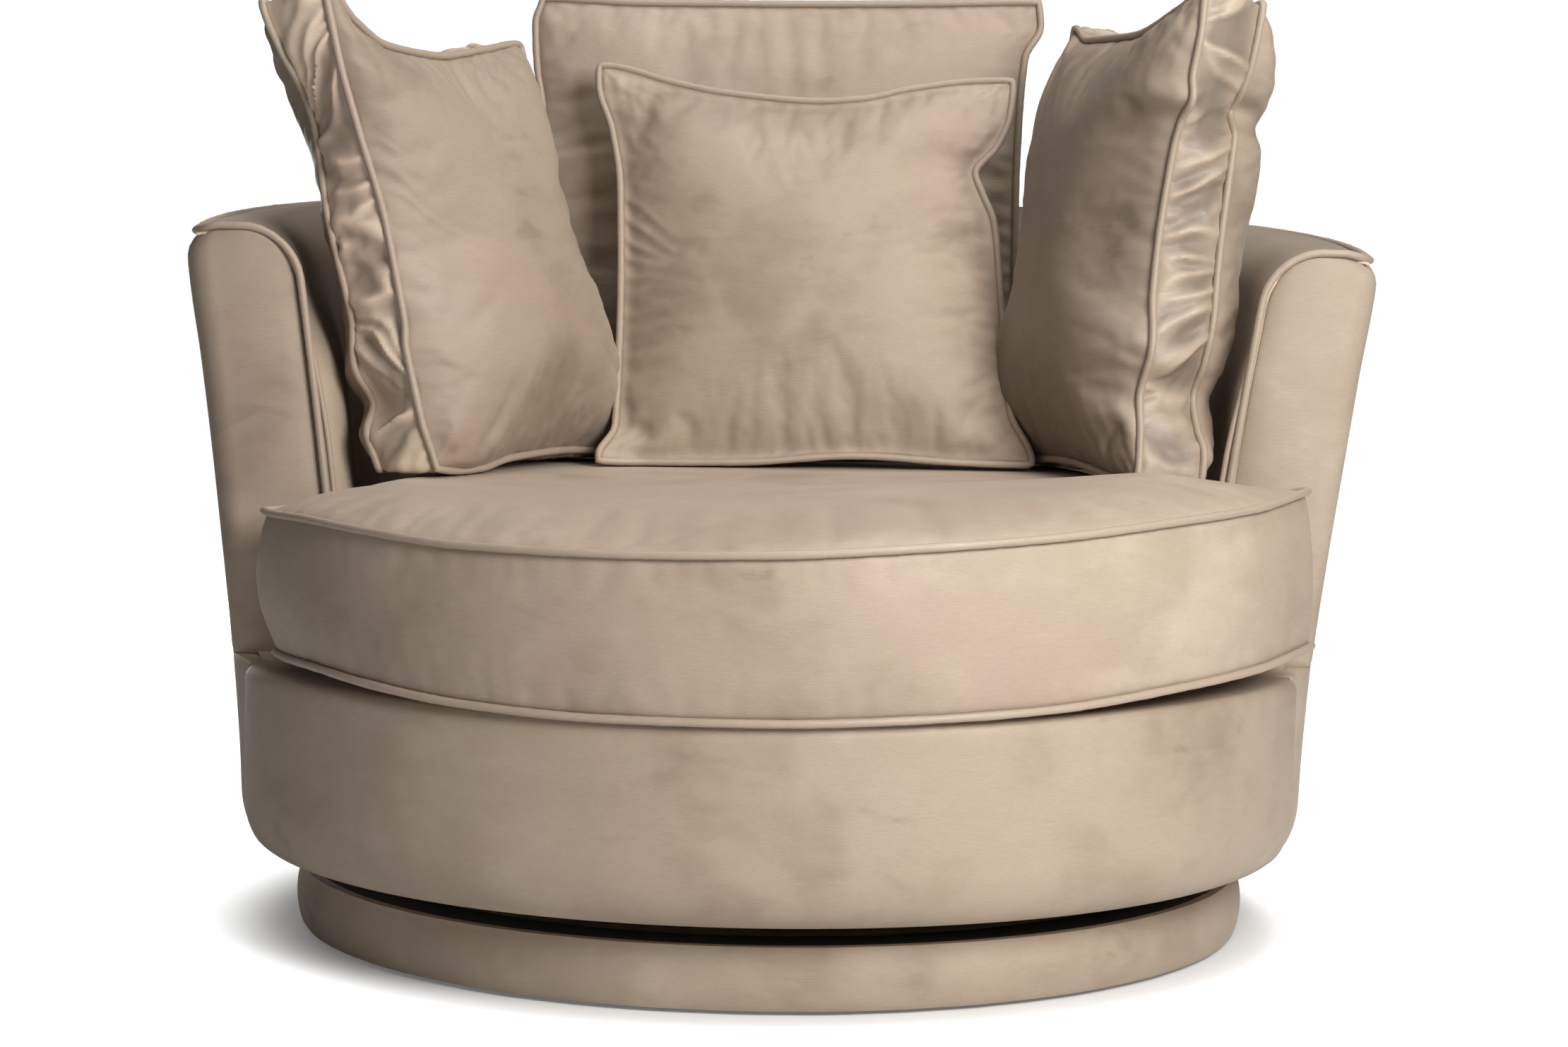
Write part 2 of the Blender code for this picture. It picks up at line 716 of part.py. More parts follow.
def inner_pad_rings():
    """Gives the slices of the inner pad, which rolls over the plywood wall's top edge."""
    rings = []
    for side, share in wall_stations():
        rim = rim_height(share)
        section = [
            (0.0, rim - SEAM_DROP + LAYER_GAP),
            (SEAM_DROP * 0.35, rim - SEAM_DROP * 0.4),
            (SEAM_DROP * 2, rim),
        ]
        for angle in reversed(ROLL_ANGLES):
            inset = WALL_THICKNESS - ROLL_RADIUS * (1 - math.cos(angle))
            section.append((inset, rim - ROLL_RADIUS * (1 - math.sin(angle))))
        rows = wall_rows()
        section += [(WALL_THICKNESS, z) for z in reversed(rows)]
        section += [(PAD_INSET, z) for z in rows]
        section += [
            (PAD_INSET, rim - CAP_THICKNESS),
            (FRAME_INSET, rim - CAP_THICKNESS),
            (FRAME_INSET, rim - SEAM_DROP + LAYER_GAP),
        ]
        rings.append([wall_point(side, share, z, inset) for inset, z in section])
    return rings


def tub_piping_side(side):
    """Gives the piping of one arm, from the deck up its inner edge and round its outer corner."""
    diagonal = PIPING_OFFSET / math.sqrt(2)
    columns = facing_columns()
    points = []
    for z in wall_rows():
        height = max(z, WALL_BASE + PIPING_RADIUS)
        points.append((columns[0](z) - diagonal, FACING_Y - diagonal, height))
    for angle in ROLL_ANGLES:
        z = ARM_HEIGHT - ROLL_RADIUS * (1 - math.sin(angle))
        x = columns[0](z) + ROLL_RADIUS * (1 - math.cos(angle)) - diagonal * math.cos(angle)
        points.append((x, FACING_Y - diagonal, z + diagonal * math.sin(angle)))
    corner_x = columns[-1](ARM_HEIGHT)
    for angle in CORNER_ANGLES:
        lift = (math.pi / 4) * (1 - math.sin(angle))
        reach = FACING_CORNER + PIPING_OFFSET * math.cos(lift)
        x = corner_x + reach * math.sin(angle)
        y = FACING_Y + FACING_CORNER - reach * math.cos(angle)
        z = facing_top(x, math.sin(angle)) + PIPING_OFFSET * math.sin(lift)
        points.append((x, y, z))
    return [Vector((side * x, y, z)) for x, y, z in points]


def tub_piping_points():
    """Gives the whole route of the tub's piping, from the right arm's foot to the left one's."""
    points = tub_piping_side(1.0)
    for side, share in wall_stations():
        z = rim_height(share) - SEAM_DROP
        points.append(wall_point(side, share, z, -PIPING_OFFSET))
    return points + tub_piping_side(-1.0)[::-1]


def build_tub(parent, materials):
    """Builds the tub shell: outer cover, plywood wall, inner pad and piping."""
    cover = bridge_rings(outer_cover_rings(), closed=False, twisted=True)
    add_mesh("tub_outer_cover", cover, materials["velvet"], parent)
    frame = bridge_rings(frame_rings(), closed=False, twisted=True)
    add_mesh("tub_frame", frame, materials["plywood"], parent)
    pad = bridge_rings(inner_pad_rings(), closed=False, twisted=True)
    add_mesh("tub_inner_pad", pad, materials["velvet"], parent)
    add_tube(
        "tub_piping", tub_piping_points(), PIPING_RADIUS, materials["piping"], parent, cyclic=False
    )


def offset_outline(points, distance):
    """Moves an anticlockwise outline outwards by a distance, mitring its corners."""
    moved = []
    count = len(points)
    for index, point in enumerate(points):
        here = Vector(point)
        entering = (here - Vector(points[index - 1])).normalized()
        leaving = (Vector(points[(index + 1) % count]) - here).normalized()
        first = Vector((entering.y, -entering.x))
        second = Vector((leaving.y, -leaving.x))
        bisector = (first + second).normalized()
        moved.append(here + bisector * distance / max(bisector.dot(first), 0.5))
    return moved


def crown_share(reach):
    """Gives the crown's height at a reach from the middle, 1 on the plateau and 0 at the seam."""
    plateau = 0.62
    if reach <= plateau:
        return 1.0
    return (1 - ((reach - plateau) / (1 - plateau)) ** 2.2) ** 0.85


def face_rings(outline, centre, seam, crown, steps):
    """Gives the rings of one crowned face, from near its middle out to its seam."""
    rings = []
    for reach in steps:
        height = seam + crown * crown_share(reach)
        ring = []
        for point in outline:
            spot = centre + (Vector(point) - centre) * reach
            ring.append((spot.x, spot.y, height))
        rings.append(ring)
    return rings


def cushion_rings(outline, centre, seam, crown, bulge):
    """Gives the rings of a cushion with two crowned faces and a boxing that swells between them."""
    steps = (0.35, 0.62, 0.76, 0.88, 0.96, 1.0)
    front = face_rings(outline, centre, seam, crown, steps)
    rear = face_rings(outline, centre, -seam, -crown, steps)
    swell = [(spot.x, spot.y, 0.0) for spot in offset_outline(outline, bulge)]
    return front + [swell] + rear[::-1]


def seam_points(outline, height):
    """Gives the route of the piping that lies against a seam."""
    return [Vector((spot.x, spot.y, height)) for spot in offset_outline(outline, PIPING_OFFSET)]


def box_outline(width, height, draw_in):
    """Gives a rectangle on its bottom edge whose sides are drawn in between its corners."""
    spots = (-0.93, -0.6, -0.2, 0.2, 0.6, 0.93)
    half_width = width / 2
    half_height = height / 2
    soft = draw_in * 0.4
    bottom = [(spot * half_width, draw_in * (1 - spot**2) - half_height) for spot in spots]
    right = [(half_width - draw_in * (1 - spot**2), spot * half_height) for spot in spots]
    top = [(-x, -y) for x, y in bottom]
    left = [(-x, -y) for x, y in right]
    corner = (half_width - soft, half_height - soft)
    loop = bottom + [(corner[0], -corner[1])] + right + [corner]
    loop += top + [(-corner[0], corner[1])] + left + [(-corner[0], -corner[1])]
    return [Vector((x, y + half_height)) for x, y in loop]


def seat_outline(z):
    """Gives the seat cushion's seam line at a height: a round front, two wings and a round back."""
    front = SEAT_FRONT - PIPING_REACH
    diagonal = PIPING_OFFSET / math.sqrt(2)
    side_room = PIPING_REACH + PIPING_RADIUS + diagonal + CUSHION_CLEARANCE
    neck_y = FACING_Y - side_room
    wing = math.acos(SEAT_WING_HALF_WIDTH / front)
    arc = []
    for index in range(9):
        angle = -math.pi / 2 + (math.pi / 2 - wing - 0.04) * index / 8
        arc.append(Vector((front * math.cos(angle), front * math.sin(angle))))
    wing_tip = Vector((SEAT_WING_HALF_WIDTH, -front * math.sin(wing)))
    arc.append(wing_tip)
    neck = wall_point(1.0, 0.0, z, WALL_THICKNESS + side_room, neck_y).to_2d()
    arc.append(wing_tip.lerp(neck, 0.2))
    for share in (0.0, 0.08, 0.2, 0.36, 0.52, 0.68, 0.84, 1.0):
        arc.append(wall_point(1.0, share, z, WALL_THICKNESS + side_room, neck_y).to_2d())
    left = [Vector((-spot.x, spot.y)) for spot in reversed(arc[1:-1])]
    return arc + left


def build_seat_cushion(parent, materials):
    """Builds the seat cushion and its two pipings, and gives its skin for the others to rest on."""
    low = DECK_HEIGHT + SEAT_SEAM_LOW
    high = DECK_HEIGHT + SEAT_SEAM_HIGH
    centre = Vector((0.0, SEAT_CENTRE_Y))
    steps = (0.3, 0.62, 0.76, 0.88, 0.96, 1.0)
    rings = face_rings(seat_outline(high), centre, high, SEAT_CROWN, steps)
    middle = (low + high) / 2
    swell = offset_outline(seat_outline(middle), SEAT_BULGE)
    rings.append([(spot.x, spot.y, middle) for spot in swell])
    rings += face_rings(seat_outline(low), centre, low, 0.0, (1.0,))
    rings += face_rings(seat_outline(low), centre, WALL_BASE, 0.0, (0.94,))
    skin = bridge_rings(rings, closed=False)
    bmesh.ops.recalc_face_normals(skin, faces=skin.faces)
    tree = BVHTree.FromBMesh(skin)
    add_mesh("seat_cushion", skin, materials["velvet"], parent, smooth_angle=50.0)
    for name, height in (("bottom", low), ("top", high)):
        points = seam_points(seat_outline(height), height)
        add_tube(
            f"seat_cushion_{name}_piping",
            points,
            PIPING_RADIUS,
            materials["piping"],
            parent,
            cyclic=True,
        )
    return tree


def cushion_frame(base, turn, lean):
    """Gives the place of a standing cushion: its foot, the way it faces and how far it leans."""
    upright = Matrix.Rotation(math.pi / 2 - lean, 4, "X")
    return Matrix.Translation(base) @ Matrix.Rotation(turn, 4, "Z") @ upright


def slide_near(frame, way, spots, tree, clearance, limit):
    """Slides a cushion's frame one way until its nearest spot is just clear of a skin."""
    travel = 0.0
    for _ in range(SETTLING_STEPS):
        moved = Matrix.Translation(way * travel) @ frame
        clear = min(tree.find_nearest(moved @ spot)[3] for spot in spots)
        travel = min(travel + clear - clearance, limit)
    return Matrix.Translation(way * travel) @ frame


def settle_on(tree, frame, points):
    """Slides a cushion's frame down its own length until its piping just rests on a skin."""
    pairs = zip(points, points[1:] + points[:1])
    spots = points + [here.lerp(there, 0.5) for here, there in pairs]
    down = frame.to_3x3() @ Vector((0.0, -1.0, 0.0))
    return slide_near(frame, down, spots, tree, PIPING_OFFSET, SEAT_SEAM_HIGH)


def placed_tree(skin, frame):
    """Gives the search tree of a skin as it stands in the chair."""
    skin.verts.index_update()
    spots = [frame @ vert.co for vert in skin.verts]
    return BVHTree.FromPolygons(spots, [[vert.index for vert in face.verts] for face in skin.faces])


def add_box_cushion(name, size, crown, frame, trees, parent, materials):
    """Adds a standing box cushion with a piping round each face, and gives its frame and skin."""
    width, height, boxing = size
    outline = box_outline(width, height, DRAW_IN)
    front = seam_points(outline, boxing / 2)
    rear = seam_points(outline, -boxing / 2)
    frame = settle_on(trees["seat_cushion"], frame, front + rear)
    if "back_cushion" in trees:
        back = frame.to_3x3() @ Vector((math.copysign(1.0, frame.translation.x), 0.0, 0.0))
        back = Vector((back.x, back.y, 0.0)).normalized()
        room = PIPING_REACH + PIPING_OFFSET
        frame = slide_near(frame, -back, front + rear, trees["back_cushion"], room, 2 * BACK_CROWN)
        frame = settle_on(trees["seat_cushion"], frame, front + rear)
    body = make_empty(f"{name}_place", frame, parent)
    centre = Vector((0.0, height / 2))
    rings = cushion_rings(outline, centre, boxing / 2, crown, BOXING_BULGE)
    skin = bridge_rings(rings, closed=False)
    trees[name] = placed_tree(skin, frame)
    add_mesh(name, skin, materials["velvet"], body, smooth_angle=50.0)
    for label, points in (("front", front), ("rear", rear)):
        add_tube(
            f"{name}_{label}_piping",
            points,
            PIPING_RADIUS,
            materials["piping"],
            body,
            cyclic=True,
        )
    return frame


def back_cushion_front(z):
    """Gives where the back cushion's front seam plane lies at a height."""
    corner = BACK_WIDTH / 2 + PIPING_REACH
    rear_at_rim = plan_y(corner, ARM_HEIGHT, WALL_THICKNESS) - CUSHION_CLEARANCE
    rear_at_rim -= PIPING_REACH / math.cos(BACK_LEAN)
    front_at_rim = rear_at_rim - BACK_BOXING / math.cos(BACK_LEAN)
    return front_at_rim - (ARM_HEIGHT - z) * math.tan(BACK_LEAN)


def seat_top():
    """Gives the height of the seat cushion's crown."""
    return DECK_HEIGHT + SEAT_SEAM_HIGH + SEAT_CROWN


def build_back_cushion(parent, trees, materials):
    """Builds the back cushion, which leans on the tub's rear wall."""
    start = seat_top() + BACK_BOXING
    foot_y = back_cushion_front(start) + BACK_BOXING / 2 / math.cos(BACK_LEAN)
    frame = cushion_frame((0.0, foot_y, start), 0.0, BACK_LEAN)
    size = (BACK_WIDTH, BACK_HEIGHT, BACK_BOXING)
    return add_box_cushion("back_cushion", size, BACK_CROWN, frame, trees, parent, materials)


def build_side_cushion(name, side, turn, lean, arm_gap, parent, trees, materials):
    """Builds one side cushion, which stands between an arm and the back cushion."""
    start = seat_top() + SIDE_BOXING
    reach = BACK_CROWN + PIPING_REACH + CUSHION_CLEARANCE
    far_y = back_cushion_front(seat_top()) - reach
    along = Vector((-side * math.sin(turn), math.cos(turn), 0.0))
    inward = Vector((-side * math.cos(turn), -math.sin(turn), 0.0))
    outer_y = far_y - SIDE_LENGTH * along.y
    outer_x = plan_x(outer_y, seat_top(), WALL_THICKNESS) - arm_gap
    outer = Vector((side * outer_x, outer_y, start))
    foot = outer + along * SIDE_LENGTH / 2 + inward * SIDE_BOXING / 2
    foot -= inward * math.tan(lean) * (start - seat_top())
    frame = cushion_frame(foot, side * (turn - math.pi / 2), lean)
    size = (SIDE_LENGTH, SIDE_HEIGHT, SIDE_BOXING)
    return add_box_cushion(name, size, SIDE_CROWN, frame, trees, parent, materials)


def build_scatter_cushion(parent, trees, materials):
    """Builds the square scatter cushion, whose back rests against the back cushion's crown."""
    outline = box_outline(SCATTER_SIZE, SCATTER_SIZE, DRAW_IN)
    centre = Vector((0.0, SCATTER_SIZE / 2))
    rings = cushion_rings(outline, centre, SCATTER_EDGE / 2, SCATTER_CROWN, 0.0)
    points = seam_points(outline, 0.0)
    foot_y = back_cushion_front(seat_top()) - 2 * SCATTER_SIZE * math.sin(SCATTER_LEAN)
    start = (SCATTER_OFFSET, foot_y, seat_top() + SCATTER_CROWN)
    frame = cushion_frame(start, 0.0, SCATTER_LEAN)
    spots = points + [Vector(spot) for ring in rings for spot in ring]
    room = PIPING_RADIUS + CUSHION_CLEARANCE
    reach = 2 * SCATTER_SIZE
    back = Vector((0.0, 1.0, 0.0))
    frame = settle_on(trees["seat_cushion"], frame, points)
    frame = slide_near(frame, back, spots, trees["back_cushion"], room, reach)
    frame = settle_on(trees["seat_cushion"], frame, points)
    body = make_empty("scatter_cushion_place", frame, parent)
    skin = bridge_rings(rings, closed=False)
    add_mesh("scatter_cushion", skin, materials["velvet"], body, smooth_angle=50.0)
    add_tube(
        "scatter_cushion_piping", points, PIPING_RADIUS, materials["piping"], body, cyclic=True
    )
    return frame


def main():
    """Builds the whole chair, body by body."""
    clear_scene()
    materials = {
        "velvet": make_material("mink_velvet", (0.42, 0.33, 0.25), 0.75),
        "piping": make_material("velvet_piping", (0.45, 0.36, 0.27), 0.7),
        "plywood": make_material("birch_plywood", (0.62, 0.45, 0.28), 0.6),
        "steel": make_material("pressed_steel", (0.45, 0.45, 0.46), 0.4, 0.9),
        "zinc": make_material("zinc_plating", (0.62, 0.62, 0.6), 0.35, 0.9),
        "nylon": make_material("black_nylon", (0.03, 0.03, 0.03), 0.45),
        "felt": make_material("grey_felt", (0.3, 0.3, 0.29), 0.95),
        "cloth": make_material("black_dust_cloth", (0.02, 0.02, 0.02), 0.9),
    }
    base = make_empty("base")
    ring_axis = make_empty("ball_ring_axis", Matrix.Identity(4), base)
    seat_axis = make_empty("seat_axis", Matrix.Identity(4), base)
    lower_cutter = build_plinth(base, materials)
    build_swivel(base, ring_axis, seat_axis, materials, lower_cutter)
    build_seat_box(seat_axis, materials)
    build_tub(seat_axis, materials)
    seat_cushion_place = make_empty("seat_cushion_place", Matrix.Identity(4), seat_axis)
    place = seat_cushion_place
    trees = {"seat_cushion": build_seat_cushion(place, materials)}
    frames = {"back_cushion": build_back_cushion(place, trees, materials)}
    for name, side, turn, lean, arm_gap in (
        ("left_side_cushion", -1.0, LEFT_TURN, LEFT_LEAN, LEFT_ARM_GAP),
        ("right_side_cushion", 1.0, RIGHT_TURN, RIGHT_LEAN, RIGHT_ARM_GAP),
    ):
        frames[name] = build_side_cushion(
            name, side, turn, lean, arm_gap, place, trees, materials
        )
    frames["scatter_cushion"] = build_scatter_cushion(place, trees, materials)
    bpy.context.view_layer.update()
    for name, frame in frames.items():
        up = frame.to_3x3() @ Vector((0.0, 1.0, 0.0))
        place = tuple(round(value, 4) for value in frame.translation)
        print(name, "stands at", place, "and lifts along", tuple(round(v, 4) for v in up))


main()
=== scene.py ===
"""Looks of a round swivel armchair: velvet covers, piped cushions, studio floor, lamps and camera.

Units are metres and +Z is up. The sitter faces -Y and the chair swivels about the Z axis.
"""

import json
import logging
import math
from dataclasses import dataclass, field
from enum import Enum
from typing import Callable, Sequence

import bmesh
import bpy
import numpy as np
from mathutils import Matrix, Vector, noise

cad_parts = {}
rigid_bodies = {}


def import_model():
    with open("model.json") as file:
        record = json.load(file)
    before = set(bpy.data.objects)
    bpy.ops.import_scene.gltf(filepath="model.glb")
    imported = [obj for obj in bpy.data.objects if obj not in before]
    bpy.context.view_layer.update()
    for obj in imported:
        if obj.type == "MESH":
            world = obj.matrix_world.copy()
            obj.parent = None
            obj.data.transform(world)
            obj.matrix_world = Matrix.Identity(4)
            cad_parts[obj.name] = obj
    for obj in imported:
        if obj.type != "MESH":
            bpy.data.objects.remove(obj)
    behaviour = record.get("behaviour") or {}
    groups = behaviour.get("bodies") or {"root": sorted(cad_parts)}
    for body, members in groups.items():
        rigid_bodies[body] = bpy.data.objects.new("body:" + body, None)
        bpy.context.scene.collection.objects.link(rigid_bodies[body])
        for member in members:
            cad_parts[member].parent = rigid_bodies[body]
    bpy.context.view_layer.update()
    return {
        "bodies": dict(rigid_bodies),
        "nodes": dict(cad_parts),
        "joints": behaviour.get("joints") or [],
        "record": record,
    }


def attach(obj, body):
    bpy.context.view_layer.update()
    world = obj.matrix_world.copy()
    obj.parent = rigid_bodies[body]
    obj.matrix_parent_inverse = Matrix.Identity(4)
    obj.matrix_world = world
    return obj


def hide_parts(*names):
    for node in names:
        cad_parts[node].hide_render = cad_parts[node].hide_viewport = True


LOG = logging.getLogger("armchair")
Colour = tuple[float, float, float]
Stops = tuple[tuple[float, float], ...]
Sockets = dict[str | int, object]
# Painted light and shade: a velvet's colour is lighter where its surface faces the first way,
# towards the key lamp at the right, front and top, and darker where it faces away. The inner pad's
# way points to the front and down, which paints shade on the roll's top and light on its front
# walls.
PAINTED_LIGHT_LAYER = "pile_and_painted_light"
FOLD_SHADE_LAYER = "folds"
PAINTED_LIGHT_WAY = (0.76, -0.48, 0.44)
PAD_PAINTED_LIGHT_WAY = (0.0, -0.47, -0.88)
LAMP_AIM = (0.0, 0.0, 0.45)
MERGE_DISTANCE = 0.00002
SOFT_BEND = 75.0
DECK_SIDES = 144
FLAT_SHARE = 0.55
SIDE_ROWS = (0.165, 0.185, 0.205, 0.225, 0.245)
SEAM_GAP = 0.0003
TURNED_UNDER = 0.012
ROSY_TINT = (0.49, 0.345, 0.277)
MOSSY_TINT = (0.42, 0.368, 0.255)
THREAD_TINT = (0.16, 0.115, 0.08)
INNER_SIDE = ((0.0, 0.0), (0.3, 0.006), (0.6, 0.018), (0.88, 0.034), (1.0, 0.036))
FRONT_STEPS = 60
NECK_STEPS = 6
WALL_STEPS = 80
CORNER_STEP = 44


def deselect_all() -> None:
    """Leaves nothing selected, so that the next operator acts on its own piece only."""
    if bpy.context.object and bpy.context.object.mode != "OBJECT":
        bpy.ops.object.mode_set(mode="OBJECT")
    bpy.ops.object.select_all(action="DESELECT")


def make_active(piece: bpy.types.Object) -> None:
    """Selects one piece alone and makes it the active one.

    Args:
        piece: the object that the next operators work on.
    """
    deselect_all()
    piece.select_set(True)
    bpy.context.view_layer.objects.active = piece


def modify(piece: bpy.types.Object, kind: str, **values: float) -> None:
    """Adds a modifier to a piece, sets it and applies it.

    Args:
        piece: the piece.
        kind: the modifier's type.
        **values: its settings.
    """
    modifier = piece.modifiers.new(kind.title(), kind)
    for key, value in values.items():
        setattr(modifier, key, value)
    make_active(piece)
    bpy.ops.object.modifier_apply(modifier=modifier.name)


def shade_softly(piece: bpy.types.Object, angle: float = 50.0) -> None:
    """Shades a piece smooth, except across edges that are sharper than an angle.

    Args:
        piece: the object to shade.
        angle: the sharpest bend, in degrees, that is still shaded smooth.
    """
    make_active(piece)
    bpy.ops.object.shade_smooth_by_angle(angle=math.radians(angle))


def mesh_piece(name: str, verts: np.ndarray, faces: Sequence[Sequence[int]]) -> bpy.types.Object:
    """Makes an object from points and faces.

    Args:
        name: the piece's name.
        verts: the points, one row each.
        faces: the corners of each face, as rows of the points.

    Returns:
        The new object, at the origin.
    """
    mesh = bpy.data.meshes.new(name)
    mesh.from_pydata([tuple(map(float, row)) for row in verts], [], faces)
    piece = bpy.data.objects.new(name, mesh)
    bpy.context.scene.collection.objects.link(piece)
    mesh.update()
    return piece


def edit_whole(piece: bpy.types.Object, *steps: Callable[[], object]) -> None:
    """Runs mesh operators on the whole of a piece.

    Args:
        piece: the piece.
        *steps: the operators, in order.
    """
    make_active(piece)
    bpy.ops.object.mode_set(mode="EDIT")
    bpy.ops.mesh.select_all(action="SELECT")
    for step in steps:
        step()
    bpy.ops.object.mode_set(mode="OBJECT")


def face_outwards(piece: bpy.types.Object) -> None:
    """Merges a piece's doubled points and turns its faces outwards.

    Args:
        piece: the piece.
    """
    edit_whole(
        piece,
        lambda: bpy.ops.mesh.remove_doubles(threshold=MERGE_DISTANCE),
        lambda: bpy.ops.mesh.normals_make_consistent(inside=False),
    )


def face_towards(piece: bpy.types.Object, ways: np.ndarray) -> None:
    """Turns an open sheet over if, on the whole, it faces against the given directions."""
    if float((ways * read_normals(piece)).sum()) < 0:
        edit_whole(piece, bpy.ops.mesh.flip_normals)


def read_field(
    items: Sequence[object], name: str, width: int = 1, kind: type = np.float32
) -> np.ndarray:
    """Reads one field of every point, corner or face.

    Args:
        items: the mesh's points, corners or faces.
        name: the field's name.
        width: how many numbers the field has.
        kind: their type.

    Returns:
        The field's values, one row each if it has several numbers.
    """
    flat = np.zeros(len(items) * width, kind)
    items.foreach_get(name, flat)
    return flat.reshape(-1, width) if width > 1 else flat


def read_points(piece: bpy.types.Object) -> np.ndarray:
    """Returns the places of a piece's points, one row each."""
    return read_field(piece.data.vertices, "co", 3).astype(float)


def read_normals(piece: bpy.types.Object) -> np.ndarray:
    """Returns the directions that a piece's points face, one row each."""
    return read_field(piece.data.vertices, "normal", 3).astype(float)


def write_points(piece: bpy.types.Object, points: np.ndarray) -> None:
    """Moves a piece's points.

    Args:
        piece: the object whose points move.
        points: their new places, one row each.
    """
    piece.data.vertices.foreach_set("co", points.astype(np.float32).ravel())
    piece.data.update()


def write_layer(piece: bpy.types.Object, name: str, values: np.ndarray) -> None:
    """Writes a number for each point into a named layer of a piece's mesh."""
    layer = piece.data.attributes.new(name, "FLOAT", "POINT")
    layer.data.foreach_set("value", values.astype(np.float32))


def ripple(points: np.ndarray, scale: float, seed: float) -> np.ndarray:
    """Gives a soft random height at each point.

    Args:
        points: the places to read, one row each.
        scale: how many ripples there are in a metre.
        seed: a shift that makes another pattern.

    Returns:
        One height for each point, from about -1 to 1.
    """
    shift = Vector((seed, seed * 1.7, -seed))
    return np.array([noise.noise(Vector(row) * scale + shift) for row in points])


def soften(piece: bpy.types.Object, amount: float, scale: float, seed: float) -> None:
    """Gives an upholstered panel the slight unevenness of its padding.

    Args:
        piece: the panel.
        amount: how far its points move along their normals.
        scale: how many ripples there are in a metre.
        seed: a shift that makes another pattern.
    """
    points = read_points(piece)
    rise = ripple(points, scale, seed) * amount
    write_points(piece, points + read_normals(piece) * rise[:, None])


def push_out(points: np.ndarray, push: np.ndarray) -> None:
    """Moves each point away from the swivel axis by its own distance."""
    radius = np.maximum(np.hypot(points[:, 0], points[:, 1]), 0.1)
    points[:, :2] *= (1 + push / radius)[:, None]


def tie(
    piece: bpy.types.Object, node: str, body: str
) -> None:
    """Ties a piece to its solid and its body.

    Args:
        piece: the piece.
        node: the solid that it takes the place of.
        body: the body that it moves with.
    """
    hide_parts(node)
    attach(piece, body)


class NodeBench:
    """A material's or a group's node tree, with short ways to add and join its nodes."""

    def __init__(self, tree: bpy.types.NodeTree) -> None:
        """Keeps the tree that the nodes go into."""
        self.tree = tree

    def add(self, kind: str, sockets: Sockets | None = None, **values: object) -> bpy.types.Node:
        """Adds a node.

        Args:
            kind: the node's type, without the word ShaderNode.
            sockets: a value, or another node's output, for each input.
            **values: the node's own fields.

        Returns:
            The new node.
        """
        node = self.tree.nodes.new(f"ShaderNode{kind}")
        for key, value in values.items():
            setattr(node, key, value)
        self.fill(node, sockets or {})
        return node

    def fill(self, node: bpy.types.Node, sockets: Sockets) -> None:
        """Sets or joins a node's inputs.

        Args:
            node: the node.
            sockets: a value, or another node's output, for each input.
        """
        for key, value in sockets.items():
            socket = node.inputs[key]
            if isinstance(value, bpy.types.NodeSocket):
                self.tree.links.new(value, socket)
            elif socket.type == "RGBA" and len(value) == 3:
                socket.default_value = (*value, 1.0)
            else:
                socket.default_value = value

    def noise(
        self,
        vector: bpy.types.NodeSocket,
        scale: float,
        detail: float,
        rough: float = 0.5,
        swirl: float = 0.0,
    ) -> bpy.types.NodeSocket:
        """Adds a noise pattern.

        Args:
            vector: the coordinates that it reads.
            scale: its ripples in a metre.
            detail: how many finer layers it has.
            rough: how strong the finer layers are.
            swirl: how much it swirls.

        Returns:
            The pattern's value.
        """
        layers = {"Detail": detail, "Roughness": rough, "Distortion": swirl}
        return self.add("TexNoise", {"Vector": vector, "Scale": scale, **layers}).outputs[0]

    def stretch(self, vector: bpy.types.NodeSocket, scale: Colour) -> bpy.types.NodeSocket:
        """Returns the coordinates with each axis multiplied by a number of its own."""
        return self.add("Mapping", {"Vector": vector, "Scale": scale}).outputs["Vector"]

    def span(
        self, value: bpy.types.NodeSocket, low: float, high: float, start: float, end: float
    ) -> bpy.types.NodeSocket:
        """Adds a clamped change of range.

        Args:
            value: the value that it reads.
            low: the value that becomes start.
            high: the value that becomes end.
            start: the new range's start.
            end: the new range's end.

        Returns:
            The value in its new range.
        """
        ends = {"Value": value, "From Min": low, "From Max": high, "To Min": start, "To Max": end}
        return self.add("MapRange", ends, interpolation_type="SMOOTHSTEP").outputs["Result"]

    def maths(
        self, operation: str, first: bpy.types.NodeSocket, second: bpy.types.NodeSocket | float
    ) -> bpy.types.NodeSocket:
        """Returns the result of a sum, product or other calculation with two values."""
        return self.add("Math", {0: first, 1: second}, operation=operation).outputs[0]

    def blend(
        self, factor: bpy.types.NodeSocket, first: object, second: object
    ) -> bpy.types.NodeSocket:
        """Returns a mix of two colours, in which the factor is the share of the second."""
        return self.add("Mix", {0: factor, 6: first, 7: second}, data_type="RGBA").outputs[2]

    def bump(
        self, shader: bpy.types.Node, height: bpy.types.NodeSocket, strength: float, depth: float
    ) -> None:
        """Gives a shader the relief of a pattern.

        Args:
            shader: the material's shader.
            height: the pattern.
            strength: how strongly it shows.
            depth: its depth in metres.
        """
        relief = self.add("Bump", {"Strength": strength, "Distance": depth, "Height": height})
        self.fill(shader, {"Normal": relief.outputs["Normal"]})


def new_material(name: str) -> tuple[bpy.types.Material, NodeBench, bpy.types.Node]:
    """Returns a new material, its nodes and its shader."""
    made = bpy.data.materials.new(name)
    made.use_nodes = True
    return made, NodeBench(made.node_tree), made.node_tree.nodes["Principled BSDF"]


